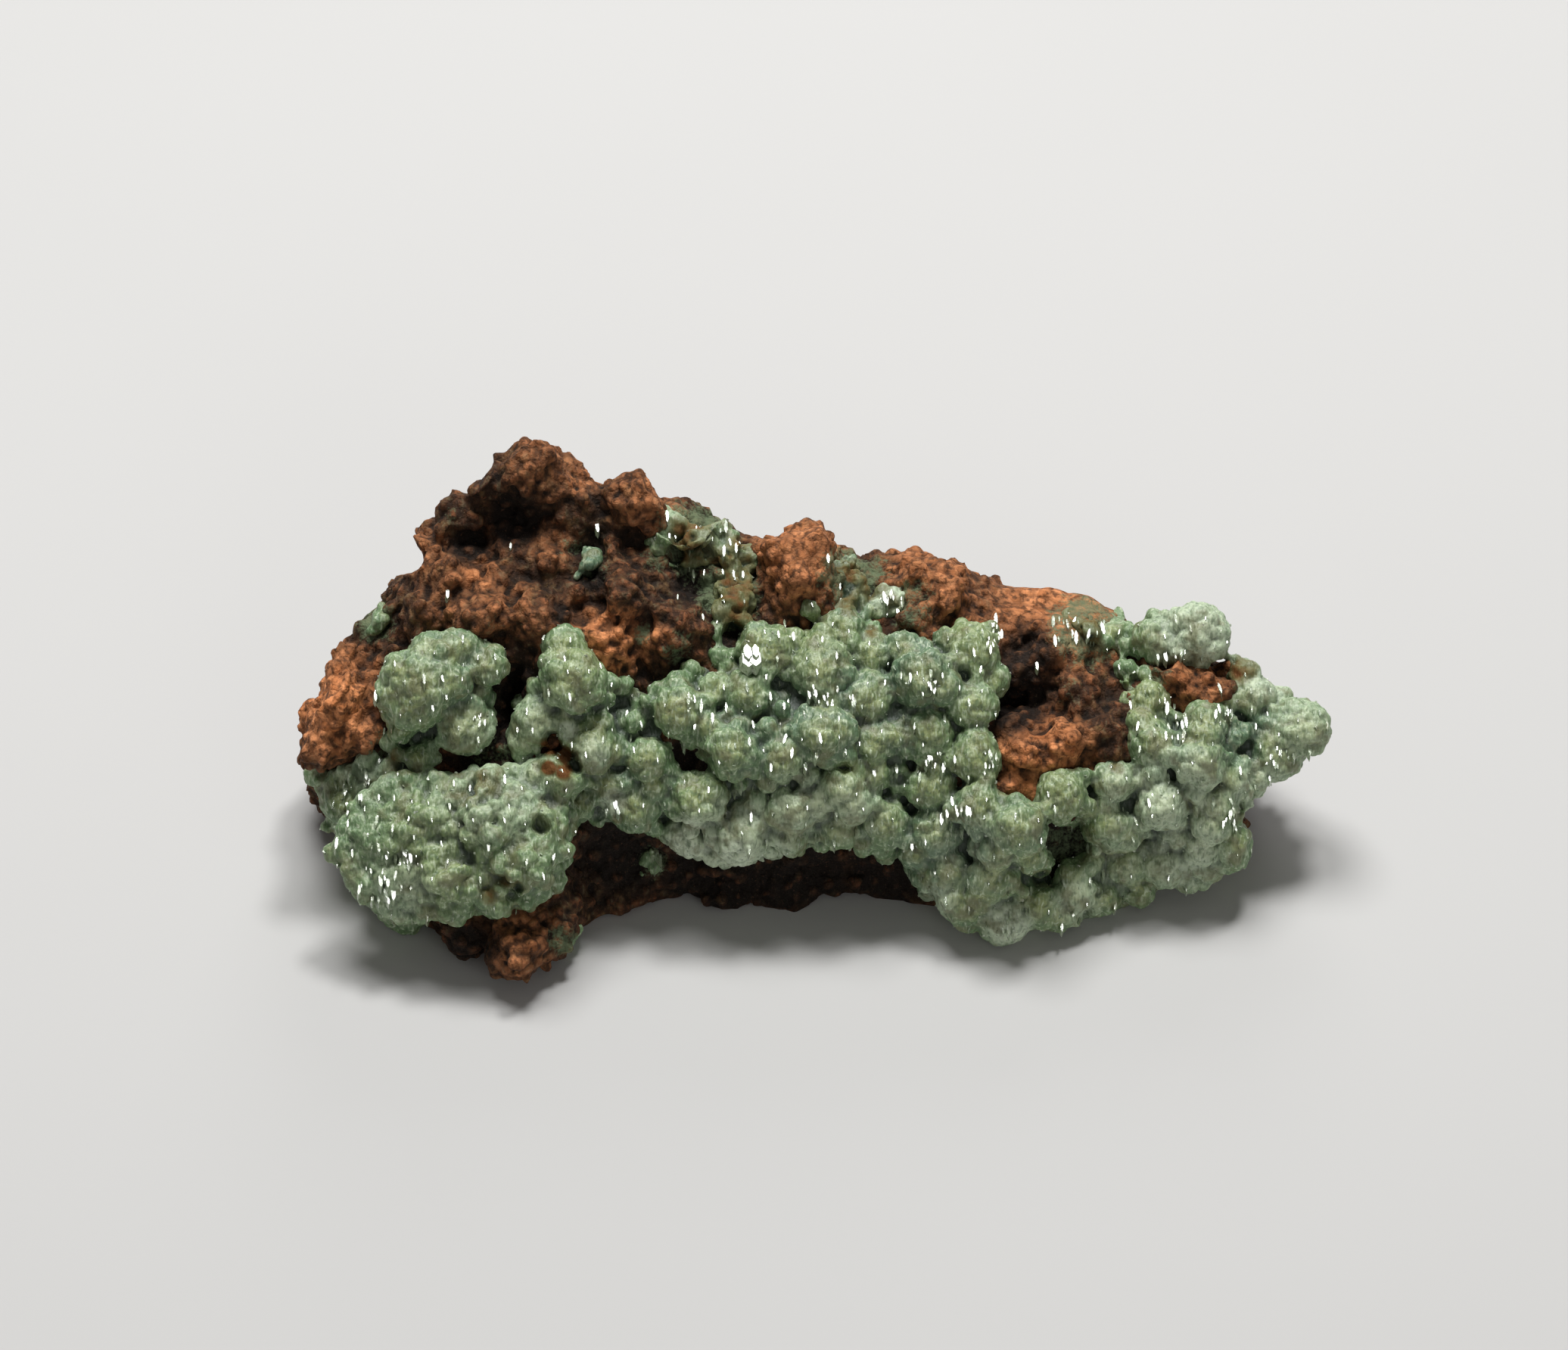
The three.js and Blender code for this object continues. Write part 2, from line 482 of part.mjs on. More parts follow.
// Points along an outline, at even steps
function walk(outline, step) {
  return outline.flatMap(([u1, v1], i) => {
    const [u2, v2] = outline[(i + 1) % outline.length];
    const count = Math.ceil(Math.hypot(u2 - u1, v2 - v1) / step);
    return Array.from({ length: count }, (_, k) => [
      THREE.MathUtils.lerp(u1, u2, k / count),
      THREE.MathUtils.lerp(v1, v2, k / count),
    ]);
  });
}

// A loose, uneven net of points over the whole face
function net(step) {
  const points = [];
  const sway = NET_JITTER * step;
  for (let u = -NET_HALF_WIDTH; u < NET_HALF_WIDTH; u += step) {
    for (let v = -NET_HALF_HEIGHT; v < NET_HALF_HEIGHT; v += step) {
      points.push([u + sway * Math.sin(7 * v + u), v + sway * Math.sin(5 * u - v)]);
    }
  }
  return points;
}

// Adds points [u, v] with heights from `heights`, leaving out any that crowd an earlier one
function put(points, places, heights) {
  for (const [u, v] of places) {
    const crowded = points.some((p) => Math.hypot(p.u - u, p.v - v) < LEAST_SPACING);
    if (crowded) continue;
    const { top, bottom } = heights(u, v);
    points.push({ u, v, top, bottom });
  }
}

// Triangles between points of a plane: the underside of the hull of the same points on a bowl
function triangulate(points) {
  const bowl = NET_HALF_WIDTH;
  const lifted = points.map(({ u, v }) => new THREE.Vector3(u, v, (u * u + v * v) / bowl));
  const number = new Map(lifted.map((p, i) => [p, i]));
  const triangles = [];
  for (const face of new ConvexHull().setFromPoints(lifted).faces) {
    if (face.normal.z < -1e-6) {
      const corners = [];
      let edge = face.edge;
      do {
        corners.push(number.get(edge.head().point));
        edge = edge.next;
      } while (edge !== face.edge);
      for (let i = 1; i < corners.length - 1; i += 1) {
        triangles.push([corners[0], corners[i + 1], corners[i]]);
      }
    }
  }
  return triangles;
}

// Solid between the tops and the bottoms of the points, over the triangles that `covers` accepts
function slab(points, covers) {
  const covered = triangulate(points).filter((corners) => {
    const u = corners.reduce((sum, i) => sum + points[i].u / 3, 0);
    const v = corners.reduce((sum, i) => sum + points[i].v / 3, 0);
    return covers(u, v);
  });
  const tops = points.map(({ u, v, top }) => fromFace(u, v, top).toArray());
  const bottoms = points.map(({ u, v, bottom }) => fromFace(u, v, bottom).toArray());
  const below = points.length;
  const index = [];
  const edges = new Set();
  for (const [a, b, c] of covered) {
    index.push(a, b, c, below + a, below + c, below + b);
    for (const edge of [[a, b], [b, c], [c, a]]) edges.add(edge.join());
  }
  for (const edge of edges) {
    const [a, b] = edge.split(',').map(Number);
    if (!edges.has([b, a].join())) index.push(a, below + a, b, b, below + a, below + b);
  }
  const geometry = new THREE.BufferGeometry();
  geometry.setAttribute('position', new THREE.Float32BufferAttribute([...tops, ...bottoms].flat(), 3));
  geometry.setIndex(index);
  return toSolid(geometry);
}

// Bare face of the matrix with its knots and pockets, raised by `grow`
function faceSlab(grow) {
  const sheets = Object.values(SHEETS);
  const domes = FACE_KNOTS.map((spec) => dome(spec));
  const edge = [
    ...BOTTOM_EDGE.map(([u, v]) => [u, v + EDGE_INSET]),
    ...TOP_EDGE.map(([u, v]) => [u, v - EDGE_INSET]).reverse(),
  ].filter(([u]) => u > FACE_LEFT && u < FACE_RIGHT);
  const bottom = (u, v, bare) => {
    const [, low] = along(BOTTOM_EDGE, u);
    const [, high] = along(TOP_EDGE, u);
    const inset = Math.min(v - low, high - v, u - FACE_LEFT, FACE_RIGHT - u);
    return bare - THREE.MathUtils.clamp(inset, RIM_DEPTH, MIDDLE_DEPTH);
  };
  const surface = (u, v) => {
    const bare = bareHeight(u, v);
    const top = Math.max(bare, domeHeight(domes, u, v)) - pocketDepth(u, v) + grow;
    return { top, bottom: bottom(u, v, bare) };
  };
  const points = [];
  for (const [u, v, halfWidth, halfHeight] of POCKETS) {
    put(points, [[u, v], ...rings([u, v], halfWidth, halfHeight, POCKET_RINGS)], surface);
  }
  for (const { u, v, radius } of domes) {
    put(points, [[u, v], ...rings([u, v], radius, radius, KNOT_RINGS)], surface);
  }
  put(points, walk(edge, OUTLINE_STEP), (u, v) => {
    const bare = bareHeight(u, v);
    return { top: bare + grow - RIM_DROP, bottom: bare - RIM_DEPTH };
  });
  put(points, net(BARE_STEP).filter(([u, v]) => !insideAny(sheets, u, v)), surface);
  put(points, net(COVERED_STEP), surface);
  return slab(points, (u, v) => inside(edge, u, v));
}

function matrixSolid(grow) {
  const floor = new THREE.BoxGeometry(FLOOR_SIZE, FLOOR_SIZE, FLOOR_DEPTH);
  floor.translate(0, 0, -FLOOR_DEPTH / 2 - grow);
  return toSolid(skin({ grow, drop: FACE_DROP })).add(faceSlab(grow)).subtract(toSolid(floor));
}

// Adamite over outlines on the face, swelling into balls
function crustSlab(outlines, balls) {
  const domes = balls.map((spec) => dome(spec, BALL_SIT));
  const covers = (u, v) => !insideAny(CRUST_GAPS, u, v)
    && (insideAny(outlines, u, v) || domeHeight(domes, u, v) > -Infinity);
  const over = (thickness, depth) => (u, v) => {
    const bare = bareHeight(u, v);
    const ground = groundHeight(v);
    const pad = Math.max(bare + SEAT_GAP + thickness, ground + CRUST_EDGE_THICKNESS);
    return { top: Math.max(pad, domeHeight(domes, u, v)), bottom: Math.max(bare - depth, ground) };
  };
  const points = [];
  put(points, domes.map(({ u, v }) => [u, v]), over(0, CRUST_DEPTH));
  for (const ring of BALL_RINGS) {
    for (const one of domes) {
      put(points, rings([one.u, one.v], one.radius, one.radius, [ring]), (u, v) => {
        const { top, bottom } = over(0, CRUST_DEPTH)(u, v);
        if (insideAny(outlines, u, v)) return { top, bottom };
        const under = Math.min(top - BALL_EDGE_THICKNESS, 2 * one.w - top);
        return { top, bottom: Math.max(groundHeight(v), under) };
      });
    }
  }
  const edges = [...outlines, ...CRUST_GAPS].flatMap((outline) => walk(outline, OUTLINE_STEP));
  const covered = net(CRUST_STEP).filter(([u, v]) => insideAny(outlines, u, v));
  put(points, edges, over(CRUST_EDGE_THICKNESS, CRUST_EDGE_DEPTH));
  put(points, covered, over(CRUST_THICKNESS, CRUST_DEPTH));
  return slab(points, covers);
}

// The largest of the bodies in a solid, without the crumbs that a cut leaves
function largest(solid) {
  return solid.decompose().sort((a, b) => b.volume() - a.volume())[0];
}

const limonite = new THREE.MeshStandardMaterial({ name: 'limonite', color: 0x94583a, roughness: 0.95 });
const adamite = new THREE.MeshStandardMaterial({ name: 'adamite', color: 0x8fae86, roughness: 0.4 });

const matrix = largest(matrixSolid(0));
const seat = matrixSolid(SEAT_GAP);
const crust = largest(crustSlab(Object.values(SHEETS), BALLS).subtract(seat));
const part = new THREE.Group();
part.name = 'adamite_on_limonite';
part.add(toMesh('limonite_matrix', matrix, limonite));
part.add(toMesh('adamite_crust', crust, adamite));
for (const [name, { outline, balls }] of Object.entries(PATCHES)) {
  part.add(toMesh(name, largest(crustSlab([outline], balls).subtract(seat)), adamite));
}

// Origin at the middle of the footprint, on the ground
const box = new THREE.Box3().setFromObject(part);
const shift = new THREE.Vector3(
  -(box.min.x + box.max.x) / 2,
  -(box.min.y + box.max.y) / 2,
  -box.min.z,
);
part.children.forEach((mesh) => mesh.geometry.translate(shift.x, shift.y, shift.z));

export default part;
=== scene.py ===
# Adamite on limonite: a granular, rusty rock under a green drusy botryoidal crust.
import math
import random

import bmesh
import bpy
import numpy as np
from mathutils import Matrix, Vector, noise
from mathutils.bvhtree import BVHTree


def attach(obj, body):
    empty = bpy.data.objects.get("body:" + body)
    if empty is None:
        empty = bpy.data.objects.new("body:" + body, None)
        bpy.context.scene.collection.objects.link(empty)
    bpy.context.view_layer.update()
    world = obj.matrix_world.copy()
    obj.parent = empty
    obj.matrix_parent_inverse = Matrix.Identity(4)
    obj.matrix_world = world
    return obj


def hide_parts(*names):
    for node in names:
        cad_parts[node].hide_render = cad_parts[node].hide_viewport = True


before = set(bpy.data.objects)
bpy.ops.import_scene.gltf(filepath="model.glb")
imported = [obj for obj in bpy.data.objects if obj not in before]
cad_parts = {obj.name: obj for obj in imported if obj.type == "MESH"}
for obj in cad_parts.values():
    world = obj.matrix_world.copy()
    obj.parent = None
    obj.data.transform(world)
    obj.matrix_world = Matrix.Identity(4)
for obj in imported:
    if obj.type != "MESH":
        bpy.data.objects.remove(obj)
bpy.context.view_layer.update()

# Face frame, in millimetres
# The crusted face leans back by FACE_SLOPE. Places on it are [u, v, w]: u to the right,
# v up the slope, w out of the face. FRAME_SHIFT moves it to the middle of the footprint.
MM = 0.001
FACE_SLOPE = math.radians(45)
FACE_MIDDLE_HEIGHT = 12.0
FRAME_SHIFT = np.array([0.3225, -1.2144, 0.0])
FACE_AXES = np.array([
    [1.0, 0.0, 0.0],
    [0.0, math.sin(FACE_SLOPE), math.cos(FACE_SLOPE)],
    [0.0, -math.cos(FACE_SLOPE), math.sin(FACE_SLOPE)],
])
FACE_ORIGIN = FRAME_SHIFT + [0.0, 0.0, FACE_MIDDLE_HEIGHT]
FRONT = FACE_AXES[2]
OUT_OF_FACE = Vector(FRONT)
RAY_START = 60.0

# How finely the pieces are made: voxels in millimetres, and a limit on triangles
BODY_VOXEL = 0.5
ROCK_VOXEL = 0.23
PAD_VOXEL = 0.35
CRUST_VOXEL = 0.19
PATCH_VOXEL = 0.15
MOST_TRIANGLES = 196000

# How the copies of the solids are smoothed: rounds, and the push back after each
BODY_ROUNDS = 12
PAD_ROUNDS = 6
FILM_ROUNDS = 8
PUSH_BACK = 0.52

# Relief as layers of [kind, height, width, seed], in millimetres
ROCK_WAVES = [["waves", 0.4, 3.2, 0.0]]
ROCK_LUMPS = [["lumps", 1.4, 2.8, 3.0], ["lumps", 0.5, 1.3, 7.0]]
ROCK_GRIT = [["waves", 0.12, 0.7, 4.0], ["lumps", 0.2, 0.9, 8.0]]
DRUSE = [["lumps", 0.3, 0.7, 0.0], ["waves", 0.14, 1.1, 0.0], ["waves", 0.3, 2.4, 5.0]]

# Rock, in millimetres, radians and shares. Grains lie where it is down to BARE_DEPTH under the
# top of the crust, or more than COVER_DEPTH under it, and no more even than UNGRAINED.
BODY_INSET = 0.15
GRAIN_SPACING = 0.76
GRAIN_RADII = (0.25, 0.62)
GRAIN_STRETCH = (0.8, 1.2)
GRAIN_LIFT = (-0.5, 0.4)
GRAIN_TILT = 0.6
LOWEST_GRAIN = 0.6
BARE_DEPTH = 0.3
COVER_DEPTH = 7.0
UNGRAINED = 0.55
EVEN_GRIT_LOSS = 0.6

# Crust: how the copy of its solid is worn down under the balls, in millimetres and shares
PAD_WEAR = 0.7
FILM_WEAR = 0.2
WAVY_WEAR = 0.7
WEAR_WIDTH = 2.0
PAD_SINK = 0.7
SHEET_SINK = 1.5
HOLE_DEPTH = 1.6
FILM_SHRINK = 0.5
PIT_DEPTH = 0.4
PIT_SHARPNESS = 3.0
PIT_WIDTH = 1.0
PIT_SEED = 2.0

# How far balls and knots stand out of the solids, as shares of their radius
KNOT_PROUD = 0.15
RAISED_KNOT_PROUD = 1.1
SMALL_BALL_PROUD = 0.3
RAISED_BALL_PROUD = 0.5

# Small balls on the crust: radii in millimetres, depths as shares of their radius, and how many there are.
# The first value of CRUST_KNOBS and PATCH_KNOBS is a spacing. Pimples sit on balls of LEAST_PIMPLED
# and more, lean out to WIDEST_LEAN radians from the top, and have shares of the ball's radius.
CRUST_KNOBS = (1.2, (0.45, 0.9))
PATCH_KNOBS = (1.1, (0.15, 0.3))
KNOB_DEPTHS = (0.35, 0.8)
LOWEST_KNOB = 0.8
KNOB_CLEARANCE = 1.12
LEAST_PIMPLED = 1.95
PIMPLES_PER_RADIUS = 5.5
PIMPLE_SHARES = (0.3, 0.45)
PIMPLE_DEPTHS = (0.55, 0.8)
WIDEST_LEAN = 1.4
GRIT_PER_AREA = 4.0
GRIT_RADII = (0.4, 0.85)
GRIT_DEPTHS = (0.35, 0.8)
GRIT_EDGE = 0.99
FILM_BALLS_PER_AREA = 6.0
FILM_BALL_RADII = (0.28, 0.55)
FILM_BALL_DEPTHS = (0.4, 2.0)

# Crystals: sizes, spacings and heights in millimetres, turns in radians, the rest as shares of the size.
# Facets are (least size, what chance may add to it, spread of the turn, breadth).
TIP_SPACING = 1.0
TIP_SIZES = (0.08, 0.17)
TIP_TILT = 0.7
TIP_SINK = 0.2
LOWEST_TIP = 0.4
GLITTER_FACETS = (0.16, 0.34, 0.03, 0.7)
SCATTERED_FACETS = (0.15, 0.28, 0.04, 0.65)
SCATTER_SPACING = 1.15
BRIGHT_SPREAD = 0.004
BRIGHT_HEIGHT = 0.4
LONE_SPREAD = 0.005
LONE_BREADTH = 0.8
FACET_LIFT = 0.45
FACET_OVERHANG = 2.0
FACET_SPIN = 0.1

# How far surfaces face the front, from -1 to 1, where wear, knobs, tips, facets and thinning out end
WORN_FACING = -0.3
KNOB_FACING = -0.2
TIP_FACING = -0.3
FACET_FACING = 0.4
THINNED_FACING = -0.1

# Paint: how far out spots reach, how deep the rock has colours, and shares of paint
SPOT_REACH = 1.2
COLOUR_DEPTH = 9.0
COLOUR_FADE = 3.0
# How much painted light yellows the crown of each ball
CROWN_GLOW = 0.9
# How much painted shade darkens the pits of the film
PIT_SHADE = 0.8
FILM_RUST = 0.68

# What counts as hollow: rounds of smoothing to compare with, and a depth in millimetres
ROCK_HOLLOWS = (10, 0.2)
ROCK_GAPS = (160, 0.6)
CRUST_HOLLOWS = (30, 0.35)
CRUST_GAPS = (200, 0.8)

# Colours of the rock
DEEP_BROWN = (0.06, 0.028, 0.014, 1)
WARM_BROWN = (0.15, 0.06, 0.026, 1)
OCHRE = (0.22, 0.13, 0.052, 1)
BLACK_BROWN = (0.03, 0.016, 0.009, 1)
# Rust tones of the painted highlights on the crests of the grains
DEEP_RUST_HIGHLIGHT = (0.21, 0.072, 0.028, 1)
BRIGHT_RUST_HIGHLIGHT = (0.39, 0.144, 0.06, 1)
DEEP_ORANGE = (0.5, 0.175, 0.06, 1)
BRIGHT_ORANGE = (0.84, 0.34, 0.14, 1)
OLIVE_GRAIN = (0.22, 0.175, 0.1, 1)
DARK_GRAIN = (0.035, 0.018, 0.01, 1)
# Painted shade in the gaps between the grains
GRAIN_GAP_SHADE = (0.03, 0.015, 0.008, 1)
ROCK_SHADOW = (0.011, 0.008, 0.006, 1)
RUST_DUST = (0.36, 0.17, 0.09, 1)
GREEN_STAIN = (0.14, 0.185, 0.1, 1)

# Colours of the crust
DEEP_GREEN = (0.13, 0.226, 0.091, 1)
LIGHT_GREEN = (0.198, 0.292, 0.129, 1)
BLUE_GREEN = (0.085, 0.165, 0.1, 1)
# Yellow-green: the crust's own tone at some places, and painted light on the crowns of the balls
YELLOW_GREEN = (0.31, 0.34, 0.115, 1)
# Pale green: partly the crust's own pale grey, partly painted light
PALE_AND_LIT_GREEN = (0.66, 0.75, 0.57, 1)
LIGHT_SPECK = (0.42, 0.5, 0.31, 1)
DARK_SPECK = (0.09, 0.15, 0.065, 1)
# Painted glints: pale streaks drawn out along the slope
PAINTED_GLINT = (0.57, 0.66, 0.46, 1)
DARK_STREAK = (0.07, 0.12, 0.05, 1)
FILM_OLIVE = (0.15, 0.15, 0.06, 1)
FILM_BROWN = (0.15, 0.065, 0.022, 1)
# Painted shade in the crevices between the balls
CREVICE_SHADE = (0.022, 0.042, 0.024, 1)

# Camera: the middle of the photograph on the face, and how much of it the frame holds
CAMERA_MIDDLE = (-2.154, 2.522, 0.0)
FRAME_WIDTH = 108.88
LENS = 200.0
SENSOR = 36.0
NEAREST_SEEN = 0.01

# Stage, in metres: lamps are [name, place, size, watts]
AIM_POINT = Vector((0, 0, 0.012))
SPARK_PLACE = Vector((0.1, 0.22, 0.62))
LAMPS = [
    ["key_softbox", (-0.08, 0.16, 0.48), 0.2, 1.8],
    ["front_fill", (0.25, -0.55, 0.25), 0.4, 0.45],
    ["spark_light", SPARK_PLACE, 0.13, 2.2],
    ["back_rim", (0.05, 0.5, 0.28), 0.3, 0.7],
]
FLOOR_SIZE = 4.0
FLOOR_TONES = ((0.53, 0.525, 0.515, 1), (0.55, 0.545, 0.535, 1))
STUDIO_COLOUR = (1.0, 0.985, 0.95, 1)
STUDIO_STRENGTH = 0.14

# Places on the face: balls and knots are [u, v, radius], spots are [u, v, radius, strength]

# Adamite balls
BALLS = [
    # left boss
    [-27.2, 1.8, 2.7], [-24.1, -1.0, 2.1], [-25.0, 4.0, 1.6], [-22.6, 3.2, 1.5],
    # lower left sheet and its edge
    [-32.6, -6.2, 1.8], [-27.6, -7.4, 2.6], [-22.6, -7.6, 2.4], [-25.1, -11.0, 2.7], [-29.6, -11.6, 2.2],
    [-20.2, -10.6, 2.2], [-28.6, -13.6, 1.9], [-30.8, -8.6, 1.7], [-18.6, -7.6, 1.7], [-22.0, -12.4, 1.8],
    # column and the bank right of it
    [-19.0, -0.6, 1.9], [-16.7, 2.1, 2.4], [-15.6, -2.0, 2.1], [-17.3, 4.4, 1.6], [-17.6, -4.4, 1.8],
    [-14.4, -5.0, 1.6], [-11.6, -3.3, 1.7], [-12.6, -6.6, 1.9],
    # middle bank, upper rows
    [-9.5, 0.1, 1.9], [-5.7, -2.6, 2.0], [-2.2, -3.2, 1.8], [0.3, -1.6, 2.1], [-4.6, 1.2, 1.7],
    [-3.0, 4.1, 1.8], [0.4, 2.9, 2.2], [3.8, 0.8, 2.0], [3.8, 3.9, 1.7], [7.3, 2.4, 2.2],
    [10.8, 4.1, 1.9], [10.9, 0.4, 1.8], [7.8, -1.5, 1.7], [4.1, -2.2, 1.7],
    # middle bank, lower rows
    [-8.0, -6.0, 2.0], [-5.2, -8.4, 2.2], [-8.8, -8.6, 1.6], [-1.6, -6.8, 1.8], [1.9, -5.4, 1.8],
    [4.8, -7.6, 1.9], [1.6, -8.2, 1.5], [8.2, -5.2, 1.9], [11.2, -3.4, 1.8], [8.3, -8.3, 1.9],
    [11.4, -6.6, 1.9], [13.8, -8.0, 2.1], [9.4, -11.2, 1.8], [12.2, -11.4, 1.9], [10.6, -13.6, 1.6],
    [13.1, -14.4, 1.9], [15.6, -13.4, 1.8], [18.0, -12.6, 1.6], [19.9, -13.0, 1.4],
    # right bank
    [21.5, -10.6, 1.8], [24.1, -10.6, 1.7], [20.4, -7.6, 1.7], [16.9, -5.8, 1.8], [24.0, -6.4, 1.9],
    [20.6, -4.9, 1.6], [26.6, -3.6, 1.9], [23.4, -2.2, 1.8], [27.6, -6.6, 1.8], [26.7, -9.3, 1.7],
    [29.4, -9.3, 1.7], [23.3, 0.6, 1.5], [27.0, -0.8, 1.6], [30.3, 1.0, 1.7], [32.2, -3.2, 1.8],
    [33.9, -1.2, 2.0],
    # top right lobe
    [26.6, 5.3, 2.3], [23.8, 4.9, 1.7],
    # upper film and saddle
    [-8.4, 12.6, 1.6], [-5.9, 10.6, 1.6], [-5.4, 7.6, 1.5], [2.2, 8.2, 1.4], [5.4, 7.4, 1.5],
    [1.8, 5.8, 1.6],
]

# Balls that stand well clear of the crust
RAISED_BALLS = [
    [-15.5, -2.6, 1.8], [-16.8, -1.3, 1.0],
]

# Smaller balls between the others
SMALL_BALLS = [
    [-28.6, 2.8, 1.4], [-26.6, 4.1, 1.4], [-25.2, 2.0, 1.5], [-27.8, 0.2, 1.6], [-29.2, 1.2, 1.2],
    [-24.2, 4.6, 1.1], [25.4, 6.3, 1.1], [26.9, 6.0, 1.1], [27.5, 4.4, 1.1], [25.4, 4.2, 1.3],
    [15.5, -10.5, 1.1], [15.6, -8.0, 0.9], [19.5, -10.2, 1.0], [19.2, -8.2, 0.8], [17.8, -11.5, 1.1],
    [17.1, -7.0, 0.8], [-28.5, -1.1, 1.1], [-27.4, -3.2, 1.0], [-29.3, -3.9, 1.0], [-30.6, -7.4, 1.3],
    [-32.9, -5.0, 1.2], [-29.5, -12.0, 1.3], [-20.1, -2.1, 1.3], [-17.2, -0.4, 1.1], [-15.0, -0.9, 1.2],
    [-14.0, -2.7, 1.2], [-13.8, -6.6, 1.0], [-8.4, -9.2, 1.1], [-7.0, -9.7, 1.1], [-9.5, -8.4, 1.0],
    [-1.7, -8.7, 1.2], [-3.2, -7.4, 1.3], [0.1, -6.3, 1.5], [2.5, -6.4, 1.4], [4.1, -4.3, 1.3],
    [2.3, -3.9, 1.2], [2.8, -9.4, 1.1], [1.5, -9.9, 1.0], [-4.0, 4.9, 1.3], [0.7, 0.5, 1.5],
    [2.8, 0.5, 1.2], [1.7, -1.3, 1.3], [8.7, 1.8, 1.5], [5.4, -1.6, 1.3], [8.3, -3.7, 1.3],
    [7.5, -5.2, 1.3], [11.2, -2.4, 1.5], [14.9, -10.0, 1.3], [19.1, -6.6, 1.4], [26.7, -1.8, 1.6],
    [22.6, -0.8, 1.2], [24.3, -11.0, 1.3], [27.4, -7.8, 1.4], [11.4, -12.9, 1.4], [9.8, -13.0, 1.4],
    [23.2, 5.2, 1.3], [29.9, 2.4, 1.3], [31.7, -2.2, 1.5], [18.6, 5.8, 1.0], [20.6, 5.6, 1.1],
    [-7.2, 11.4, 1.0], [-9.6, 12.0, 1.0], [-6.4, 9.2, 0.9], [-5.4, 5.2, 1.0], [3.0, 9.4, 0.9],
    [4.2, 7.0, 1.0], [-11.2, -5.0, 1.3], [-16.0, -6.2, 1.2], [-22.4, -4.8, 1.1], [-25.4, -5.2, 1.1],
    [-19.4, -4.4, 1.1], [-6.8, 1.6, 1.2], [-7.4, -1.0, 1.2], [6.0, 4.4, 1.3], [12.2, 2.2, 1.2],
    [12.6, -9.8, 1.3], [21.6, -8.6, 1.1], [22.6, -5.0, 1.2], [28.8, -4.8, 1.3], [30.6, -4.4, 1.2],
    [28.6, 0.6, 1.1], [25.2, -8.6, 1.2], [22.6, -12.4, 1.2], [17.0, -14.2, 1.2], [7.0, -9.8, 1.2],
    [7.8, -11.4, 1.1],
]

# Broad swellings that tie the balls together: [u, v, half width, half height, thickness, depth of the top]
SWELLS = [
    [-25.8, -9.2, 7.4, 5.2, 2.2, 0.1], [-20.8, -8.8, 3.6, 3.6, 1.5, 0.1], [-26.6, 2.8, 2.4, 2.0, 1.2, 0.1],
    [33.0, -1.6, 2.2, 1.8, 1.3, 0.1], [26.0, -8.8, 4.0, 3.2, 1.6, 0.5], [1.6, 1.6, 4.4, 2.2, 1.5, 0.8],
    [22.4, -8.6, 2.4, 2.8, 1.5, 0.7],
]

# Where the balls are sunk in an even sheet
SHEET_PLACES = [
    [-27.0, -9.6, 4.6, 1.0], [-21.6, -9.4, 4.2, 1.0],
]

# Knots of rock
ROCK_KNOTS = [
    [-19.8, 17.0, 1.7], [-22.4, 15.8, 1.4], [-25.1, 13.6, 1.4], [-27.6, 10.6, 1.4], [-16.7, 15.2, 1.4],
    [-12.4, 14.8, 1.5], [-14.6, 12.8, 1.3], [-25.2, 9.2, 1.3], [-18.2, 10.8, 1.2], [-27.0, 6.6, 1.2],
    [-23.0, 6.6, 1.4], [-19.6, 6.2, 1.4], [-16.4, 8.2, 1.3], [-12.8, 7.9, 1.4], [-14.6, 4.7, 1.3],
    [-9.8, 5.6, 1.2], [-13.6, 10.6, 1.2], [-33.4, 3.0, 1.2], [-33.3, 0.3, 1.7], [-34.3, -2.4, 1.3],
    [-31.4, -1.0, 1.3], [-2.2, 11.4, 1.4], [0.0, 11.2, 1.4], [-1.2, 9.2, 1.4], [6.9, 9.4, 1.3],
    [9.4, 8.2, 1.3], [7.2, 5.9, 1.1], [18.2, 1.0, 1.3], [14.2, -2.6, 1.3], [17.4, -2.0, 1.3],
    [20.6, -1.7, 1.2], [16.6, 3.8, 1.0], [26.8, 1.7, 1.0], [24.2, 2.3, 0.9], [-20.3, -16.9, 1.3],
    [-18.0, -15.2, 1.2], [-24.2, -15.2, 1.2], [-21.4, -16.6, 1.3], [-19.6, 17.2, 1.6], [-12.6, 15.2, 1.4],
]

# Knots of rock that stand well clear of it
RAISED_KNOTS = [
    [23.2, 2.8, 1.1], [24.8, 2.2, 1.3], [26.0, 1.5, 1.1], [27.5, 1.7, 1.3], [29.0, 2.6, 1.2],
    [30.0, 3.3, 1.0],
]

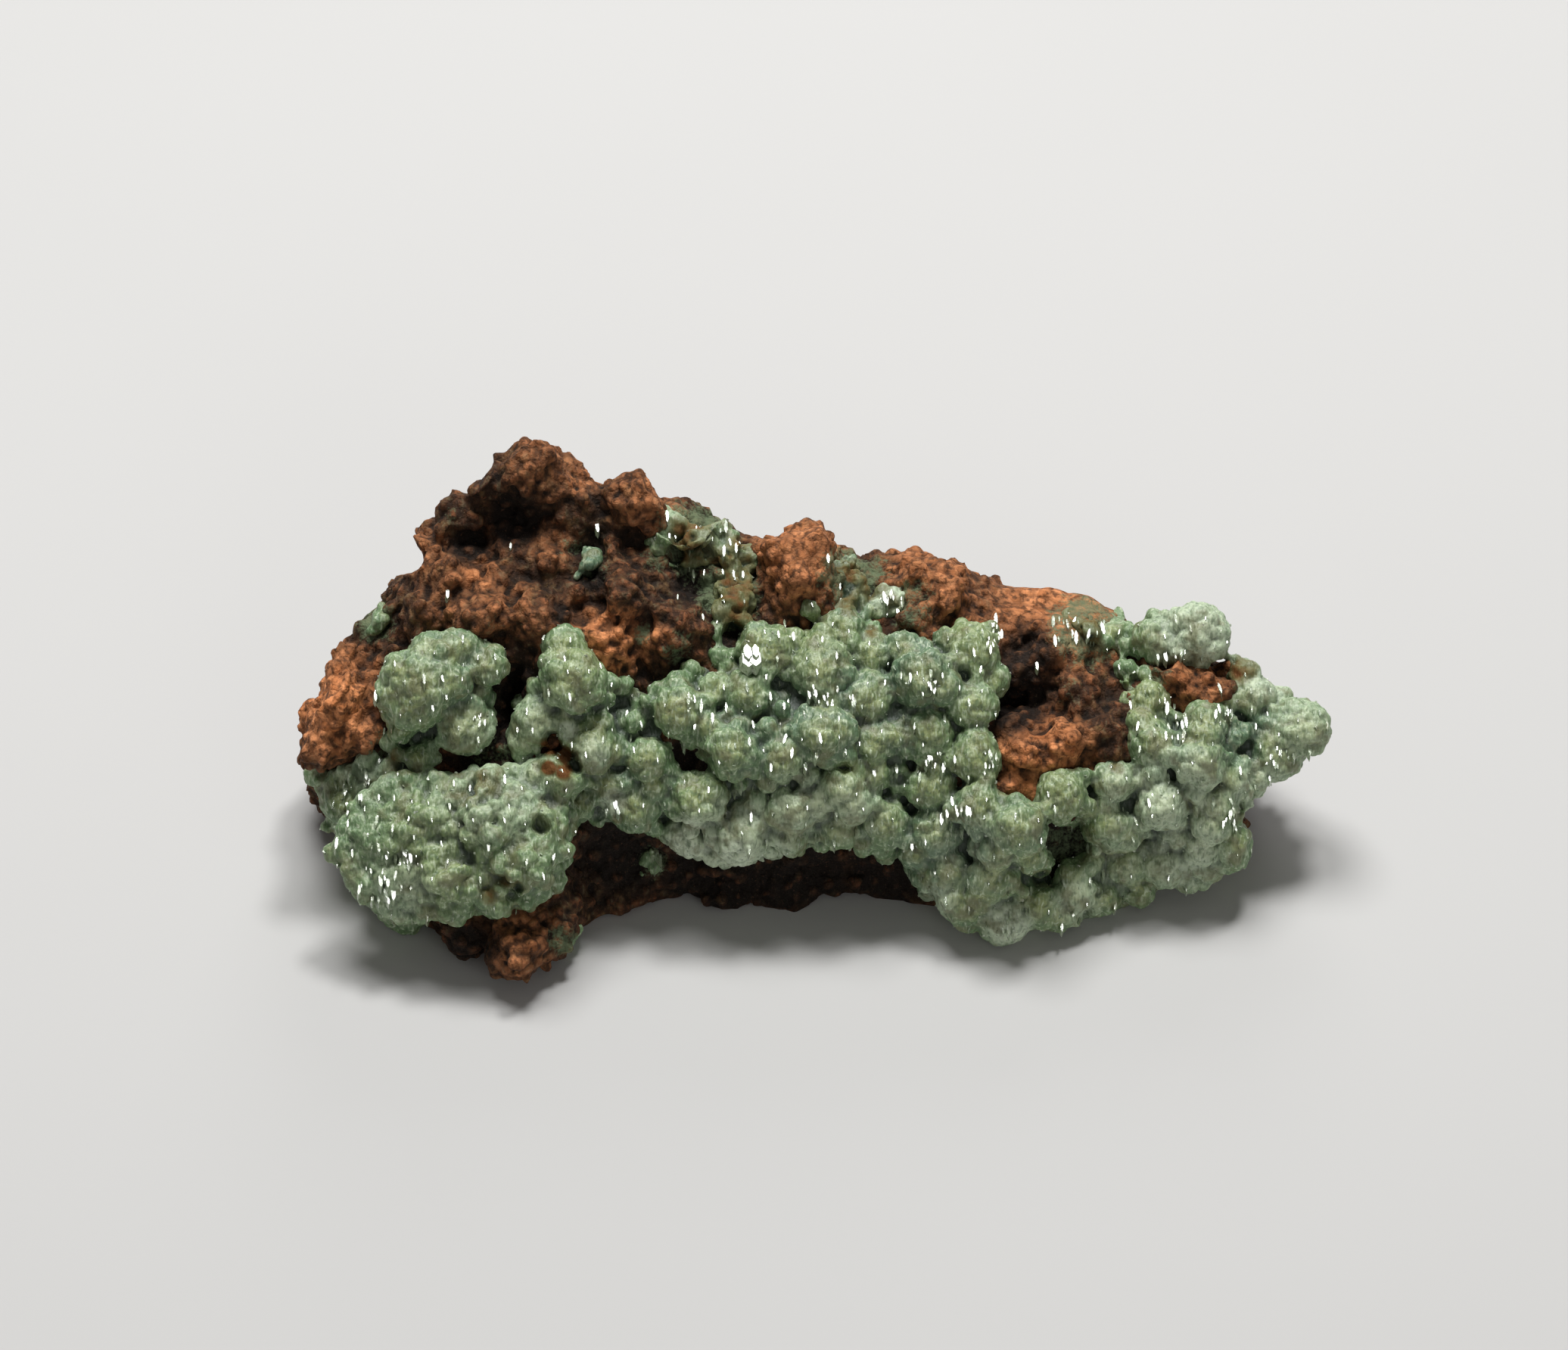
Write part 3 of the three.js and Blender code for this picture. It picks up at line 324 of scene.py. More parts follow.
# Colour of the crust
TEAL_PLACES = [
    [7.3, 3.0, 3.6, 0.9], [-13.0, -5.6, 3.4, 0.5], [29.6, -1.4, 2.6, 0.8], [5.4, -1.6, 2.2, 0.6],
    [2.4, 9.0, 3.2, 0.8], [10.0, -6.6, 3.4, 0.4], [9.8, -11.4, 3.4, 0.5], [-25.0, 2.4, 3.6, 0.6],
    [-4.6, 8.0, 2.6, 0.5], [26.0, -2.0, 2.6, 0.4], [15.0, -7.0, 3.0, 0.4], [-15.9, 10.2, 1.8, 1.0],
    [0.6, 0.6, 4.6, 0.9], [9.0, -9.6, 4.0, 0.9], [-4.0, -1.6, 3.4, 0.5],
]
# Pale places: partly the crust's own pale grey, partly painted light on parts that lie in shade
PALE_AND_LIT_PLACES = [
    [-17.0, -1.3, 0.8, 1.1], [-15.4, -2.9, 1.4, 0.5], [-28.6, -12.4, 2.6, 0.35], [-13.9, -6.2, 1.0, 1.1],
    [-8.6, -9.0, 2.0, 1.2], [-5.4, -10.0, 1.6, 1.1], [-2.6, -9.2, 1.4, 0.7], [-5.2, -8.0, 2.8, 0.6],
    [-1.0, -6.6, 2.8, 0.5], [2.6, -6.8, 2.4, 0.4], [25.6, -9.6, 3.4, 0.7], [21.4, -5.6, 2.4, 0.4],
    [10.6, -9.4, 3.0, 0.2], [31.6, 2.4, 2.4, 0.7], [33.9, -1.2, 2.8, 0.35], [31.0, -5.4, 2.4, 0.6],
    [-31.4, -3.6, 2.4, 0.4], [27.4, 4.6, 3.0, 0.3], [-8.6, 13.6, 2.6, 0.25], [5.4, 8.0, 1.8, 0.7],
    [25.4, -10.4, 2.6, 0.4], [-19.0, -0.4, 2.2, 0.3], [13.4, -14.8, 1.9, 1.0], [-22.0, -4.4, 5.0, 0.35],
    [18.2, -13.2, 2.0, 0.5], [8.6, -13.0, 1.4, 0.5], [26.4, 5.2, 3.4, 0.75], [25.0, -6.0, 4.0, 0.6],
    [-7.0, -9.6, 3.0, 0.7], [-4.2, -10.0, 2.4, 0.7], [21.0, -10.4, 2.4, 0.3],
]
YELLOW_PLACES = [
    [-24.1, -1.0, 1.6, 0.8], [-9.5, 0.1, 1.4, 1.0], [-5.2, -8.4, 2.0, 0.4], [16.7, -5.8, 2.0, 0.7],
    [22.8, 0.8, 2.0, 0.8], [-26.0, -10.0, 4.0, 0.5], [-16.4, 3.4, 1.8, 0.5], [10.6, 4.8, 2.4, 0.6],
    [-0.4, 4.4, 3.0, 0.5], [-27.6, 1.4, 2.4, 0.4], [10.4, -4.0, 2.0, 0.5], [-8.0, -5.8, 1.8, 0.5],
]

# Colour of the rock
ORANGE_PLACES = [
    [-33.4, 0.6, 4.4, 1.0], [-1.2, 10.6, 4.2, 0.65], [17.0, 7.6, 5.4, 0.9], [15.8, -3.2, 3.8, 1.2],
    [-14.0, 4.9, 2.6, 1.2], [-11.4, 4.6, 1.8, 1.0], [8.0, 9.6, 4.0, 0.6], [9.6, 6.6, 3.0, 0.5],
    [-21.0, -15.6, 3.4, 0.4], [-12.0, 15.0, 3.0, 0.4], [-18.4, 17.4, 3.4, 0.3], [-25.0, 8.4, 3.0, 0.35],
    [-21.4, 7.2, 2.6, 0.4], [-17.0, 5.6, 2.6, 0.5], [-27.4, 11.0, 2.0, 0.5], [-18.3, 11.6, 1.9, 0.4],
    [-23.4, 9.4, 1.6, 0.8], [26.2, 1.8, 2.8, 0.6], [29.8, 3.0, 1.6, 0.5], [-11.7, 14.4, 1.4, 0.5],
    [-16.2, 16.1, 1.4, 0.5],
]
# Where shade is painted on the rock: pockets, gaps and the undercut front under the middle bank
SHADE_PLACES = [
    [-20.8, 13.3, 2.4, 1.0], [-24.0, 11.6, 1.7, 1.0], [-15.4, 9.3, 1.3, 1.0], [-17.5, 6.8, 1.2, 0.8],
    [-20.7, 1.4, 2.8, 1.0], [-22.4, -2.6, 3.4, 1.0], [13.8, 1.0, 3.2, 1.0], [15.0, 4.2, 2.8, 0.8],
    [-10.4, 3.2, 2.2, 0.7], [-8.5, 8.9, 1.8, 1.0], [-5.6, 5.4, 1.6, 1.0], [17.7, -9.6, 3.0, 1.0],
    [-24.0, -16.4, 3.0, 0.8], [-13.4, -9.8, 3.8, 0.9], [-7.0, -11.6, 4.4, 1.0], [-1.0, -11.4, 4.4, 1.0],
    [5.0, -11.2, 4.0, 0.9], [-8.6, -3.2, 2.4, 0.9], [-4.6, 9.6, 1.4, 0.6], [5.8, 6.6, 1.4, 0.6],
]

# Where the crust is rusty brown
RUST_PLACES = [
    [-18.2, -2.4, 0.8, 1.3], [-17.3, -3.0, 0.7, 1.3], [-18.3, -3.9, 0.6, 1.3], [-17.3, -4.1, 0.7, 1.3],
    [20.9, -3.9, 0.6, 0.7], [-21.1, -11.6, 0.8, 0.5], [-23.4, -5.0, 1.8, 0.35], [-29.3, -3.6, 1.0, 0.4],
    [-22.3, -12.7, 0.7, 0.5], [3.9, 5.6, 0.5, 0.6], [-13.6, -7.4, 0.5, 0.6], [-8.6, 10.4, 1.2, 0.7],
    [-5.6, 11.6, 0.8, 0.7], [-6.4, 7.6, 0.8, 0.6], [3.4, 8.0, 0.8, 0.6], [29.8, 2.9, 1.1, 0.8],
]

# Where the crust is pushed in
HOLE_PLACES = [
    [-18.2, -1.7, 0.5, 0.9], [-17.7, -2.4, 0.6, 1.0], [-17.1, -3.1, 0.7, 1.0], [-16.6, -3.8, 0.6, 1.0],
    [16.4, 7.8, 1.3, 1.0], [18.6, 7.5, 1.3, 1.0], [20.6, 7.1, 1.2, 1.0], [-8.5, 8.6, 1.2, 1.4],
    [-5.6, 5.3, 0.9, 1.2], [-9.7, 10.9, 0.7, 1.0], [-18.9, -7.9, 0.7, 0.7], [-20.4, -12.1, 0.45, 0.7],
    [17.6, -9.0, 1.7, 0.9], [15.8, -11.6, 0.8, 0.8], [2.0, -3.9, 0.5, 0.5],
]

# Where the outline is drawn aside: [u, v, radius, shift along u, shift along v]
CRUST_PULLS = [
    [-8.9, 14.0, 2.4, 0.0, -1.2], [19.4, 8.2, 1.8, 0.0, -1.2], [31.0, -9.0, 2.2, -0.7, 0.2],
]
ROCK_PULLS = [
    [31.2, -6.0, 1.8, -1.0, 0.3], [0.6, 12.5, 1.8, 0.0, 0.2], [1.7, 12.7, 1.1, -0.2, -0.5],
    [-2.9, 13.3, 1.4, 0.2, -0.5], [-24.2, 17.0, 1.8, 0.3, -1.1], [-28.4, 12.4, 3.0, 0.5, -0.4],
    [-10.4, 16.2, 1.4, -0.3, -0.6], [-30.2, 9.6, 3.0, 0.5, -0.1], [-29.4, 11.4, 1.6, 1.0, -0.3],
    [-34.8, 3.0, 2.8, 0.8, -0.2], [-36.2, -3.2, 2.4, 0.4, 0.1], [19.8, 6.6, 2.4, 0.4, 0.6],
]

# Where the crust is only a thin film
FILM_PLACES = [
    [-8.4, 12.8, 2.6, 1.0], [-6.0, 9.8, 2.4, 1.0], [-5.6, 7.4, 2.2, 1.0], [2.2, 8.8, 2.4, 1.0],
    [5.4, 7.4, 1.4, 0.4], [18.4, 5.6, 2.0, 1.0],
]

# Where the rock is nearly even
EVEN_PLACES = [
    [14.6, 7.9, 3.0, 0.8], [18.0, 7.0, 3.4, 0.8], [21.6, 6.2, 2.6, 0.7], [-1.0, 11.0, 3.4, 0.6],
    [-33.4, 0.6, 3.6, 0.4],
]

# Where a thin green film stains the rock
STAIN_PLACES = [
    [-8.2, 12.0, 3.4, 1.0], [-6.0, 8.2, 2.8, 1.0], [2.6, 9.4, 3.0, 0.9], [18.8, 5.8, 3.2, 0.9],
    [-30.6, 6.2, 1.8, 1.0], [-9.4, 4.4, 1.6, 0.6], [-17.4, -15.8, 1.4, 0.8], [-11.4, -10.4, 1.6, 0.6],
    [-29.0, -3.4, 2.6, 0.7], [23.6, 2.4, 1.6, 0.6], [-15.4, 10.0, 1.4, 0.6], [-25.1, 13.6, 0.9, 0.6],
    [-21.3, 6.5, 1.8, 0.3], [-16.9, 11.4, 1.2, 0.6], [-12.0, 5.4, 0.9, 0.8], [18.0, 1.6, 1.6, 0.4],
    [6.6, 7.4, 2.2, 0.7], [17.7, -9.6, 2.6, 0.7], [-21.6, -3.8, 2.6, 0.6], [-10.8, 10.8, 1.4, 0.7],
    [31.0, 1.8, 2.4, 0.8],
]

# Where the crust glitters most: [u, v, radius, count]
GLITTER = [
    [-23.1, -0.6, 0.4, 5], [17.4, 5.6, 1.2, 10], [19.8, 5.3, 1.0, 10], [-8.2, 0.8, 0.6, 7],
    [0.4, 1.0, 0.9, 10], [2.7, 0.8, 0.5, 7], [5.4, 7.4, 0.9, 15], [12.2, 5.5, 1.0, 20],
    [8.3, -3.4, 0.7, 12], [12.0, -3.4, 0.6, 7], [-11.1, -10.2, 0.5, 10], [-29.5, -11.8, 1.2, 5],
    [32.2, -3.1, 0.7, 12], [25.0, 4.1, 0.7, 7], [28.3, -0.3, 0.7, 10], [29.0, -7.1, 1.0, 12],
    [13.3, -15.0, 0.7, 7], [-13.8, -6.6, 0.7, 7], [-2.7, 5.6, 0.8, 5], [-8.2, 8.0, 1.8, 5],
    [-6.2, 11.4, 2.0, 7], [24.6, -0.6, 1.6, 15], [9.6, -7.2, 1.2, 17], [7.4, 2.0, 1.0, 12],
    [-27.9, -10.2, 0.8, 10], [-31.8, -5.0, 1.2, 12],
]

# The brightest group of facets: [u, v, size, breadth]
BRIGHT_FACETS = [
    [-4.6, 3.7, 0.6, 1.9], [-4.15, 3.75, 0.6, 1.8], [-4.65, 4.15, 0.5, 1.4], [-4.1, 4.2, 0.45, 1.3],
]

# Facets that stand alone: [u, v, size]
LONE_FACETS = [
    [-15.1, 12.8, 0.4], [-25.4, 8.2, 0.4], [-21.1, 11.5, 0.25], [15.4, 3.2, 0.35], [-30.0, 7.6, 0.2],
    [-3.4, 6.0, 0.3], [-2.9, 5.9, 0.35], [-2.3, 5.7, 0.38], [-1.5, 5.2, 0.35], [0.5, 5.0, 0.25],
    [0.9, 10.6, 0.35], [4.9, 8.9, 0.3], [-7.6, 6.8, 0.35], [-6.4, 9.7, 0.22], [-5.0, 9.5, 0.28],
    [-9.7, 12.2, 0.22], [-29.5, -9.9, 0.3], [-28.9, -9.9, 0.35], [-29.9, -11.6, 0.45], [-29.4, -11.7, 0.4],
    [-29.0, -12.5, 0.45], [-29.4, -12.9, 0.35], [-11.3, -10.0, 0.4], [-10.8, -10.2, 0.45],
]

# Chance: seeds, and the tries for each square of spacing when a surface is sampled
RANDOM_SEED = 7
SAMPLE_SEED = 11
SAMPLE_TRIES = 4
chance = random.Random(RANDOM_SEED)


# Places and meshes

def to_row(places):
    """Row frame points, in millimetres, of places [u, v, w]"""
    return np.asarray(places, float) @ FACE_AXES + FACE_ORIGIN


def to_face(points):
    """Places [u, v, w] of row frame points in millimetres"""
    return (np.asarray(points, float) - FACE_ORIGIN) @ FACE_AXES.T


def rows_of(items, key, kind=float):
    """A property of many items, three values to each, as rows"""
    values = np.empty(len(items) * 3, kind)
    items.foreach_get(key, values)
    return values.reshape(-1, 3)


def vertices(obj):
    return rows_of(obj.data.vertices, "co")


def set_vertices(obj, points):
    obj.data.vertices.foreach_set("co", np.ascontiguousarray(points, float).ravel())
    obj.data.update()


def normals(obj):
    return rows_of(obj.data.vertex_normals, "vector")


def triangles_of(obj):
    obj.data.calc_loop_triangles()
    return rows_of(obj.data.loop_triangles, "vertices", int)


def mesh_of(obj):
    """Vertices in millimetres and triangles of an object in metres"""
    return vertices(obj) / MM, triangles_of(obj)


def node_mesh(name):
    return mesh_of(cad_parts[name])


def tree_of(points, faces):
    return BVHTree.FromPolygons(points.tolist(), faces.tolist())


def height(tree, u, v):
    """Height w of the highest surface over [u, v] of the face, or None beside it"""
    start = Vector(to_row([u, v, RAY_START]))
    hit = tree.ray_cast(start, -OUT_OF_FACE)
    return None if hit[0] is None else RAY_START - hit[3]


def ico(subdivisions):
    """Vertices and triangles of a unit icosphere"""
    shape = bmesh.new()
    bmesh.ops.create_icosphere(shape, subdivisions=subdivisions, radius=1.0)
    points = np.array([v.co for v in shape.verts])
    faces = np.array([[v.index for v in f.verts] for f in shape.faces])
    shape.free()
    return points, faces


def copies(shape, placements):
    """Many copies of a shape as one mesh: each placement is a 3 by 3 matrix and a point"""
    points, faces = shape
    all_points = [points @ np.asarray(turn).T + place for turn, place in placements]
    count = len(points)
    all_faces = [faces + i * count for i in range(len(placements))]
    return np.concatenate(all_points), np.concatenate(all_faces)


def ball_placements(balls):
    """Placements of a unit ball for balls [u, v, w, radius]"""
    return [(np.eye(3) * radius, to_row([u, v, w])) for u, v, w, radius in balls]


def joined(meshes):
    """One mesh of several, each given as its vertices and faces"""
    points, faces, count = [], [], 0
    for more_points, more_faces in meshes:
        points.append(more_points)
        faces.append(more_faces + count)
        count += len(more_points)
    return np.concatenate(points), np.concatenate(faces)


def new_object(name, data):
    obj = bpy.data.objects.new(name, data)
    bpy.context.scene.collection.objects.link(obj)
    return obj


def to_object(name, points, faces):
    mesh = bpy.data.meshes.new(name)
    mesh.from_pydata(points.tolist(), [], faces.tolist())
    return new_object(name, mesh)


def apply_modifier(obj, kind, **values):
    """Puts one modifier on an object and makes its result the object's mesh"""
    modifier = obj.modifiers.new(kind, kind)
    for key, value in values.items():
        setattr(modifier, key, value)
    bpy.context.view_layer.update()
    result = bpy.data.meshes.new_from_object(obj.evaluated_get(bpy.context.evaluated_depsgraph_get()))
    obj.modifiers.clear()
    old = obj.data
    obj.data = result
    bpy.data.meshes.remove(old)


def fuse(name, mesh, voxel):
    """Object of one even skin round everything in a mesh"""
    obj = to_object(name, *mesh)
    apply_modifier(obj, "REMESH", mode="VOXEL", voxel_size=voxel, adaptivity=0.0)
    return obj


def smoothed(obj, points, rounds, back=0.0):
    """Points drawn to the mean of their neighbours in rounds, each time pushed out again by `back`"""
    edges = np.empty(len(obj.data.edges) * 2, int)
    obj.data.edges.foreach_get("vertices", edges)
    a, b = edges.reshape(-1, 2).T
    count = len(points)
    degree = np.maximum(np.bincount(a, minlength=count) + np.bincount(b, minlength=count), 1)
    result = points.copy()
    strengths = [0.5, -back] if back else [0.5]
    for strength in strengths * rounds:
        for axis in range(3):
            column = result[:, axis]
            total = np.bincount(a, column[b], count) + np.bincount(b, column[a], count)
            result[:, axis] = column + strength * (total / degree - column)
    return result


def waves_at(points, width, seed=0.0):
    """Smooth noise from about -1 to 1, with features about `width` wide"""
    return np.array([noise.noise(Vector((x, y, z + seed))) for x, y, z in (points / width).tolist()])


def lumps_at(points, width, seed):
    """Heights from about 0.45 on the round tops of scattered lumps to -0.4 in the furrows between them"""
    distances = [noise.voronoi(Vector((x, y, z + seed)))[0][0] for x, y, z in (points / width).tolist()]
    return 0.45 - 1.3 * np.square(distances)


def relief(points, layers):
    kinds = {"waves": waves_at, "lumps": lumps_at}
    return sum(rise * kinds[kind](points, width, seed) for kind, rise, width, seed in layers)


def near(places, spots):
    """From 0 away from round spots [u, v, radius, strength] to their strength in their middle"""
    total = np.zeros(len(places))
    for u, v, radius, strength in spots:
        square = ((places[:, 0] - u) ** 2 + (places[:, 1] - v) ** 2) / radius ** 2
        total = np.maximum(total, strength * np.clip(SPOT_REACH - square, 0.0, 1.0))
    return total


def pulled(places, pulls):
    """Shifts of places within round spots [u, v, radius, shift along u, shift along v]"""
    shifts = np.zeros((len(places), 3))
    for u, v, radius, along_u, along_v in pulls:
        shift = along_u * FACE_AXES[0] + along_v * FACE_AXES[1]
        shifts += np.outer(near(places, [[u, v, radius, 1.0]]), shift)
    return shifts


def hollow(obj, points, rounds, depth):
    """0 on crests to 1 in hollows, against the surface smoothed over its surroundings"""
    broad = smoothed(obj, points, rounds)
    below = np.einsum("ij,ij->i", broad - points, normals(obj))
    return np.clip(0.5 + below / (2.0 * depth), 0.0, 1.0)


def paint(obj, name, values):
    layer = obj.data.attributes.new(name, "FLOAT", "POINT")
    layer.data.foreach_set("value", np.ascontiguousarray(values, np.float32))


def thin_out(obj):
    """Fewer triangles, taken first from the sides turned away from the front"""
    triangles = len(triangles_of(obj))
    if triangles > MOST_TRIANGLES:
        away = normals(obj) @ FRONT < THINNED_FACING
        group = obj.vertex_groups.new(name="away")
        group.add(np.flatnonzero(away).tolist(), 1.0, "REPLACE")
        group.add(np.flatnonzero(~away).tolist(), 0.3, "REPLACE")
        apply_modifier(obj, "DECIMATE", ratio=MOST_TRIANGLES / triangles, vertex_group="away")
        obj.vertex_groups.clear()


def finish_piece(obj, material, nodes, smooth=True):
    """From millimetres to metres, with its material and body; the nodes it stands for are hidden"""
    thin_out(obj)
    set_vertices(obj, vertices(obj) * MM)
    obj.data.materials.clear()
    obj.data.materials.append(material)
    obj.data.polygons.foreach_set("use_smooth", [smooth] * len(obj.data.polygons))
    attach(obj, "root")
    if nodes:
        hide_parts(*nodes)


# Turns and samples

def turn_to(direction, tilt):
    """Matrix that turns +Z towards a direction, tilted up to `tilt` and spun at random"""
    away = Vector([chance.gauss(0, 1) for _ in range(3)])
    aim = Vector(direction).normalized() + away.normalized() * math.tan(tilt) * chance.random()
    spin = Matrix.Rotation(chance.uniform(0, math.tau), 3, "Z")
    return np.array(aim.to_track_quat("Z", "Y").to_matrix() @ spin)


def upright_turn(direction, spread):
    """Matrix that turns +Z about towards a direction, with +Y nearly up the slope"""
    aim = Vector(direction) + Vector([chance.gauss(0, spread) for _ in range(3)])
    aim.normalize()
    side = Vector(FACE_AXES[1]).cross(aim).normalized()
    turn = Matrix((side, aim.cross(side), aim)).transposed()
    return np.array(turn @ Matrix.Rotation(chance.gauss(0, FACET_SPIN), 3, "Z"))


def surface_tries(points, faces, spacing):
    """Random points close together on a mesh, with normals"""
    corners = points[faces]
    cross = np.cross(corners[:, 1] - corners[:, 0], corners[:, 2] - corners[:, 0])
    doubled = np.linalg.norm(cross, axis=1)
    chooser = np.random.default_rng(SAMPLE_SEED)
    count = int(doubled.sum() / 2 / spacing ** 2 * SAMPLE_TRIES)
    chosen = chooser.choice(len(faces), count, p=doubled / doubled.sum())
    a, b = chooser.random((2, count))
    flip = a + b > 1
    a[flip], b[flip] = 1 - a[flip], 1 - b[flip]
    base = corners[chosen]
    spots = base[:, 0] + a[:, None] * (base[:, 1] - base[:, 0]) + b[:, None] * (base[:, 2] - base[:, 0])
    return spots, cross[chosen] / doubled[chosen][:, None]


def surface_samples(points, faces, spacing, accepts=None):
    """Random points on a mesh, at least `spacing` apart, with normals"""
    taken, kept = {}, []
    for spot, direction in zip(*surface_tries(points, faces, spacing)):
        key = tuple((spot // spacing).astype(int))
        around = [(key[0] + dx, key[1] + dy, key[2] + dz)
                  for dx in (-1, 0, 1) for dy in (-1, 0, 1) for dz in (-1, 0, 1)]
        crowded = any(np.dot(spot - other, spot - other) < spacing ** 2
                      for place in around for other in taken.get(place, ()))
        if crowded or (accepts and not accepts(spot, direction)):
            continue
        taken.setdefault(key, []).append(spot)
        kept.append((spot, direction))
    return kept


def spot_in_ellipse(u, v, half_width, half_height, edge=1.0):
    """A random place [u, v] in an ellipse, and how far out it lies, from 0 to `edge`"""
    turn = chance.uniform(0, math.tau)
    out = math.sqrt(chance.random()) * edge
    return (u + half_width * out * math.cos(turn), v + half_height * out * math.sin(turn)), out


# Materials

def feed(node, inputs):
    """Links or sets inputs of a node, given by name or place"""
    for key, value in inputs.items():
        if isinstance(value, bpy.types.NodeSocket):
            node.id_data.links.new(value, node.inputs[key])
        else:
            node.inputs[key].default_value = value


def new_material(name):
    material = bpy.data.materials.new(name)
    material.use_nodes = True
    tree = material.node_tree
    return material, tree, tree.nodes["Principled BSDF"]


def add(tree, kind, inputs=None, **values):
    """A node with some of its values set and some of its inputs fed"""
    node = tree.nodes.new("ShaderNode" + kind)
    for key, value in values.items():
        setattr(node, key, value)
    feed(node, inputs or {})
    return node


def attribute(tree, name):
    return add(tree, "Attribute", attribute_name=name).outputs["Fac"]


def coordinates(tree):
    return add(tree, "TexCoord").outputs["Object"]


def streaked(where, stretch):
    """Coordinates that draw a texture out along the slope of the face"""
    values = {"Vector": where, "Rotation": (FACE_SLOPE, 0.0, 0.0), "Scale": (1.0, stretch, 1.0)}
    return add(where.id_data, "Mapping", values, vector_type="TEXTURE").outputs[0]


def fine_noise(where, size_mm, detail=4.0):
    inputs = {"Vector": where, "Scale": 1.0 / (size_mm * MM), "Detail": detail}
    return add(where.id_data, "TexNoise", inputs).outputs["Fac"]


def mix_colour(share, low, high):
    return add(share.id_data, "Mix", {0: share, 6: low, 7: high}, data_type="RGBA").outputs[2]


def calculate(operation, a, b):
    return add(a.id_data, "Math", {0: a, 1: b}, operation=operation).outputs[0]


def times(a, b):
    return calculate("MULTIPLY", a, b)


def ramp(value, low, high, to_low=0.0, to_high=1.0):
    inputs = {"Value": value, "From Min": low, "From Max": high, "To Min": to_low, "To Max": to_high}
    return add(value.id_data, "MapRange", inputs, clamp=True).outputs[0]


def overlay(colour, over, value, low, high, most=1.0):
    """A colour with another laid over it, by 0 at the value `low` up to `most` at `high`"""
    return mix_colour(ramp(value, low, high, 0.0, most), colour, over)


def rock_ground(tree, where, speckle, grain_tone):
    """Brown rock with painted highlights in rust tones on the crests, olive and dark grains, and orange
    places
    """
    colour = mix_colour(ramp(fine_noise(where, 5.0), 0.42, 0.6), DEEP_BROWN, WARM_BROWN)
    colour = overlay(colour, OCHRE, speckle, 0.5, 0.7, 0.6)
    colour = overlay(colour, BLACK_BROWN, speckle, 0.48, 0.34, 0.7)
    # Painted highlights: the crests of the grains are made lighter in rust tones
    rusty = mix_colour(grain_tone, DEEP_RUST_HIGHLIGHT, BRIGHT_RUST_HIGHLIGHT)
    crest_highlight = ramp(attribute(tree, "hollow"), 0.5, 0.2, 0.0, 0.65)
    crest_highlight_share = times(crest_highlight, ramp(grain_tone, 0.35, 0.9, 0.1, 1.0))
    colour = mix_colour(crest_highlight_share, colour, rusty)
    mixture = fine_noise(streaked(where, 1.6), 0.42, 2.0)
    colour = overlay(colour, OLIVE_GRAIN, mixture, 0.57, 0.7, 0.5)
    colour = overlay(colour, DARK_GRAIN, mixture, 0.5, 0.4, 0.8)
    orange = mix_colour(grain_tone, DEEP_ORANGE, BRIGHT_ORANGE)
    orange_share = times(attribute(tree, "orange"), ramp(mixture, 0.36, 0.52, 0.25, 1.0))
    return mix_colour(orange_share, colour, orange)


def rock_shadow(tree):
    """Share of painted shade, near black: in hollows, in broad gaps and at the shaded places"""
    hollows = attribute(tree, "hollow")
    in_hollows = ramp(hollows, 0.46, 0.76, 0.0, 0.92)
    in_gaps = ramp(attribute(tree, "gap"), 0.5, 0.85, 0.0, 0.85)
    painted_shade = ramp(attribute(tree, "painted_shade"), 0.05, 0.8, 0.0, 0.97)
    at_places = times(painted_shade, ramp(hollows, 0.2, 0.45, 0.7, 1.0))
    return calculate("MAXIMUM", calculate("MAXIMUM", in_hollows, in_gaps), at_places)


def rock_material():
    material, tree, shader = new_material("limonite")
    where = coordinates(tree)
    speckle = fine_noise(where, 0.9)
    dust = fine_noise(where, 0.2)
    grain = add(tree, "TexVoronoi", {"Vector": where, "Scale": 1.0 / (0.7 * MM)})
    grain_tone = add(tree, "SeparateColor", {"Color": grain.outputs["Color"]}).outputs[0]
    colour = rock_ground(tree, where, speckle, grain_tone)
    # Painted shade darkens the gaps between the grains
    colour = overlay(colour, GRAIN_GAP_SHADE, grain.outputs["Distance"], 0.4, 0.75, 0.45)
    colour = mix_colour(rock_shadow(tree), colour, ROCK_SHADOW)
    colour = overlay(colour, RUST_DUST, dust, 0.62, 0.8, 0.3)
    mottle = calculate("ADD", ramp(speckle, 0.3, 0.7, -0.3, 0.3), ramp(dust, 0.3, 0.7, -0.25, 0.25))
    patchy = calculate("ADD", attribute(tree, "stain"), mottle)
    colour = overlay(colour, GREEN_STAIN, patchy, 0.45, 0.9, 0.8)
    grit = calculate("ADD", times(speckle, 0.5), times(dust, 0.5))
    bumps = calculate("SUBTRACT", grit, times(grain.outputs["Distance"], 0.9))
    bump = add(tree, "Bump", {"Height": bumps, "Strength": 1.0, "Distance": 0.36 * MM})
    feed(shader, {
        "Base Color": colour,
        "Roughness": ramp(dust, 0.3, 0.7, 0.95, 0.7),
        "Specular IOR Level": 0.2,
        "Normal": bump.outputs[0],
    })
    return material


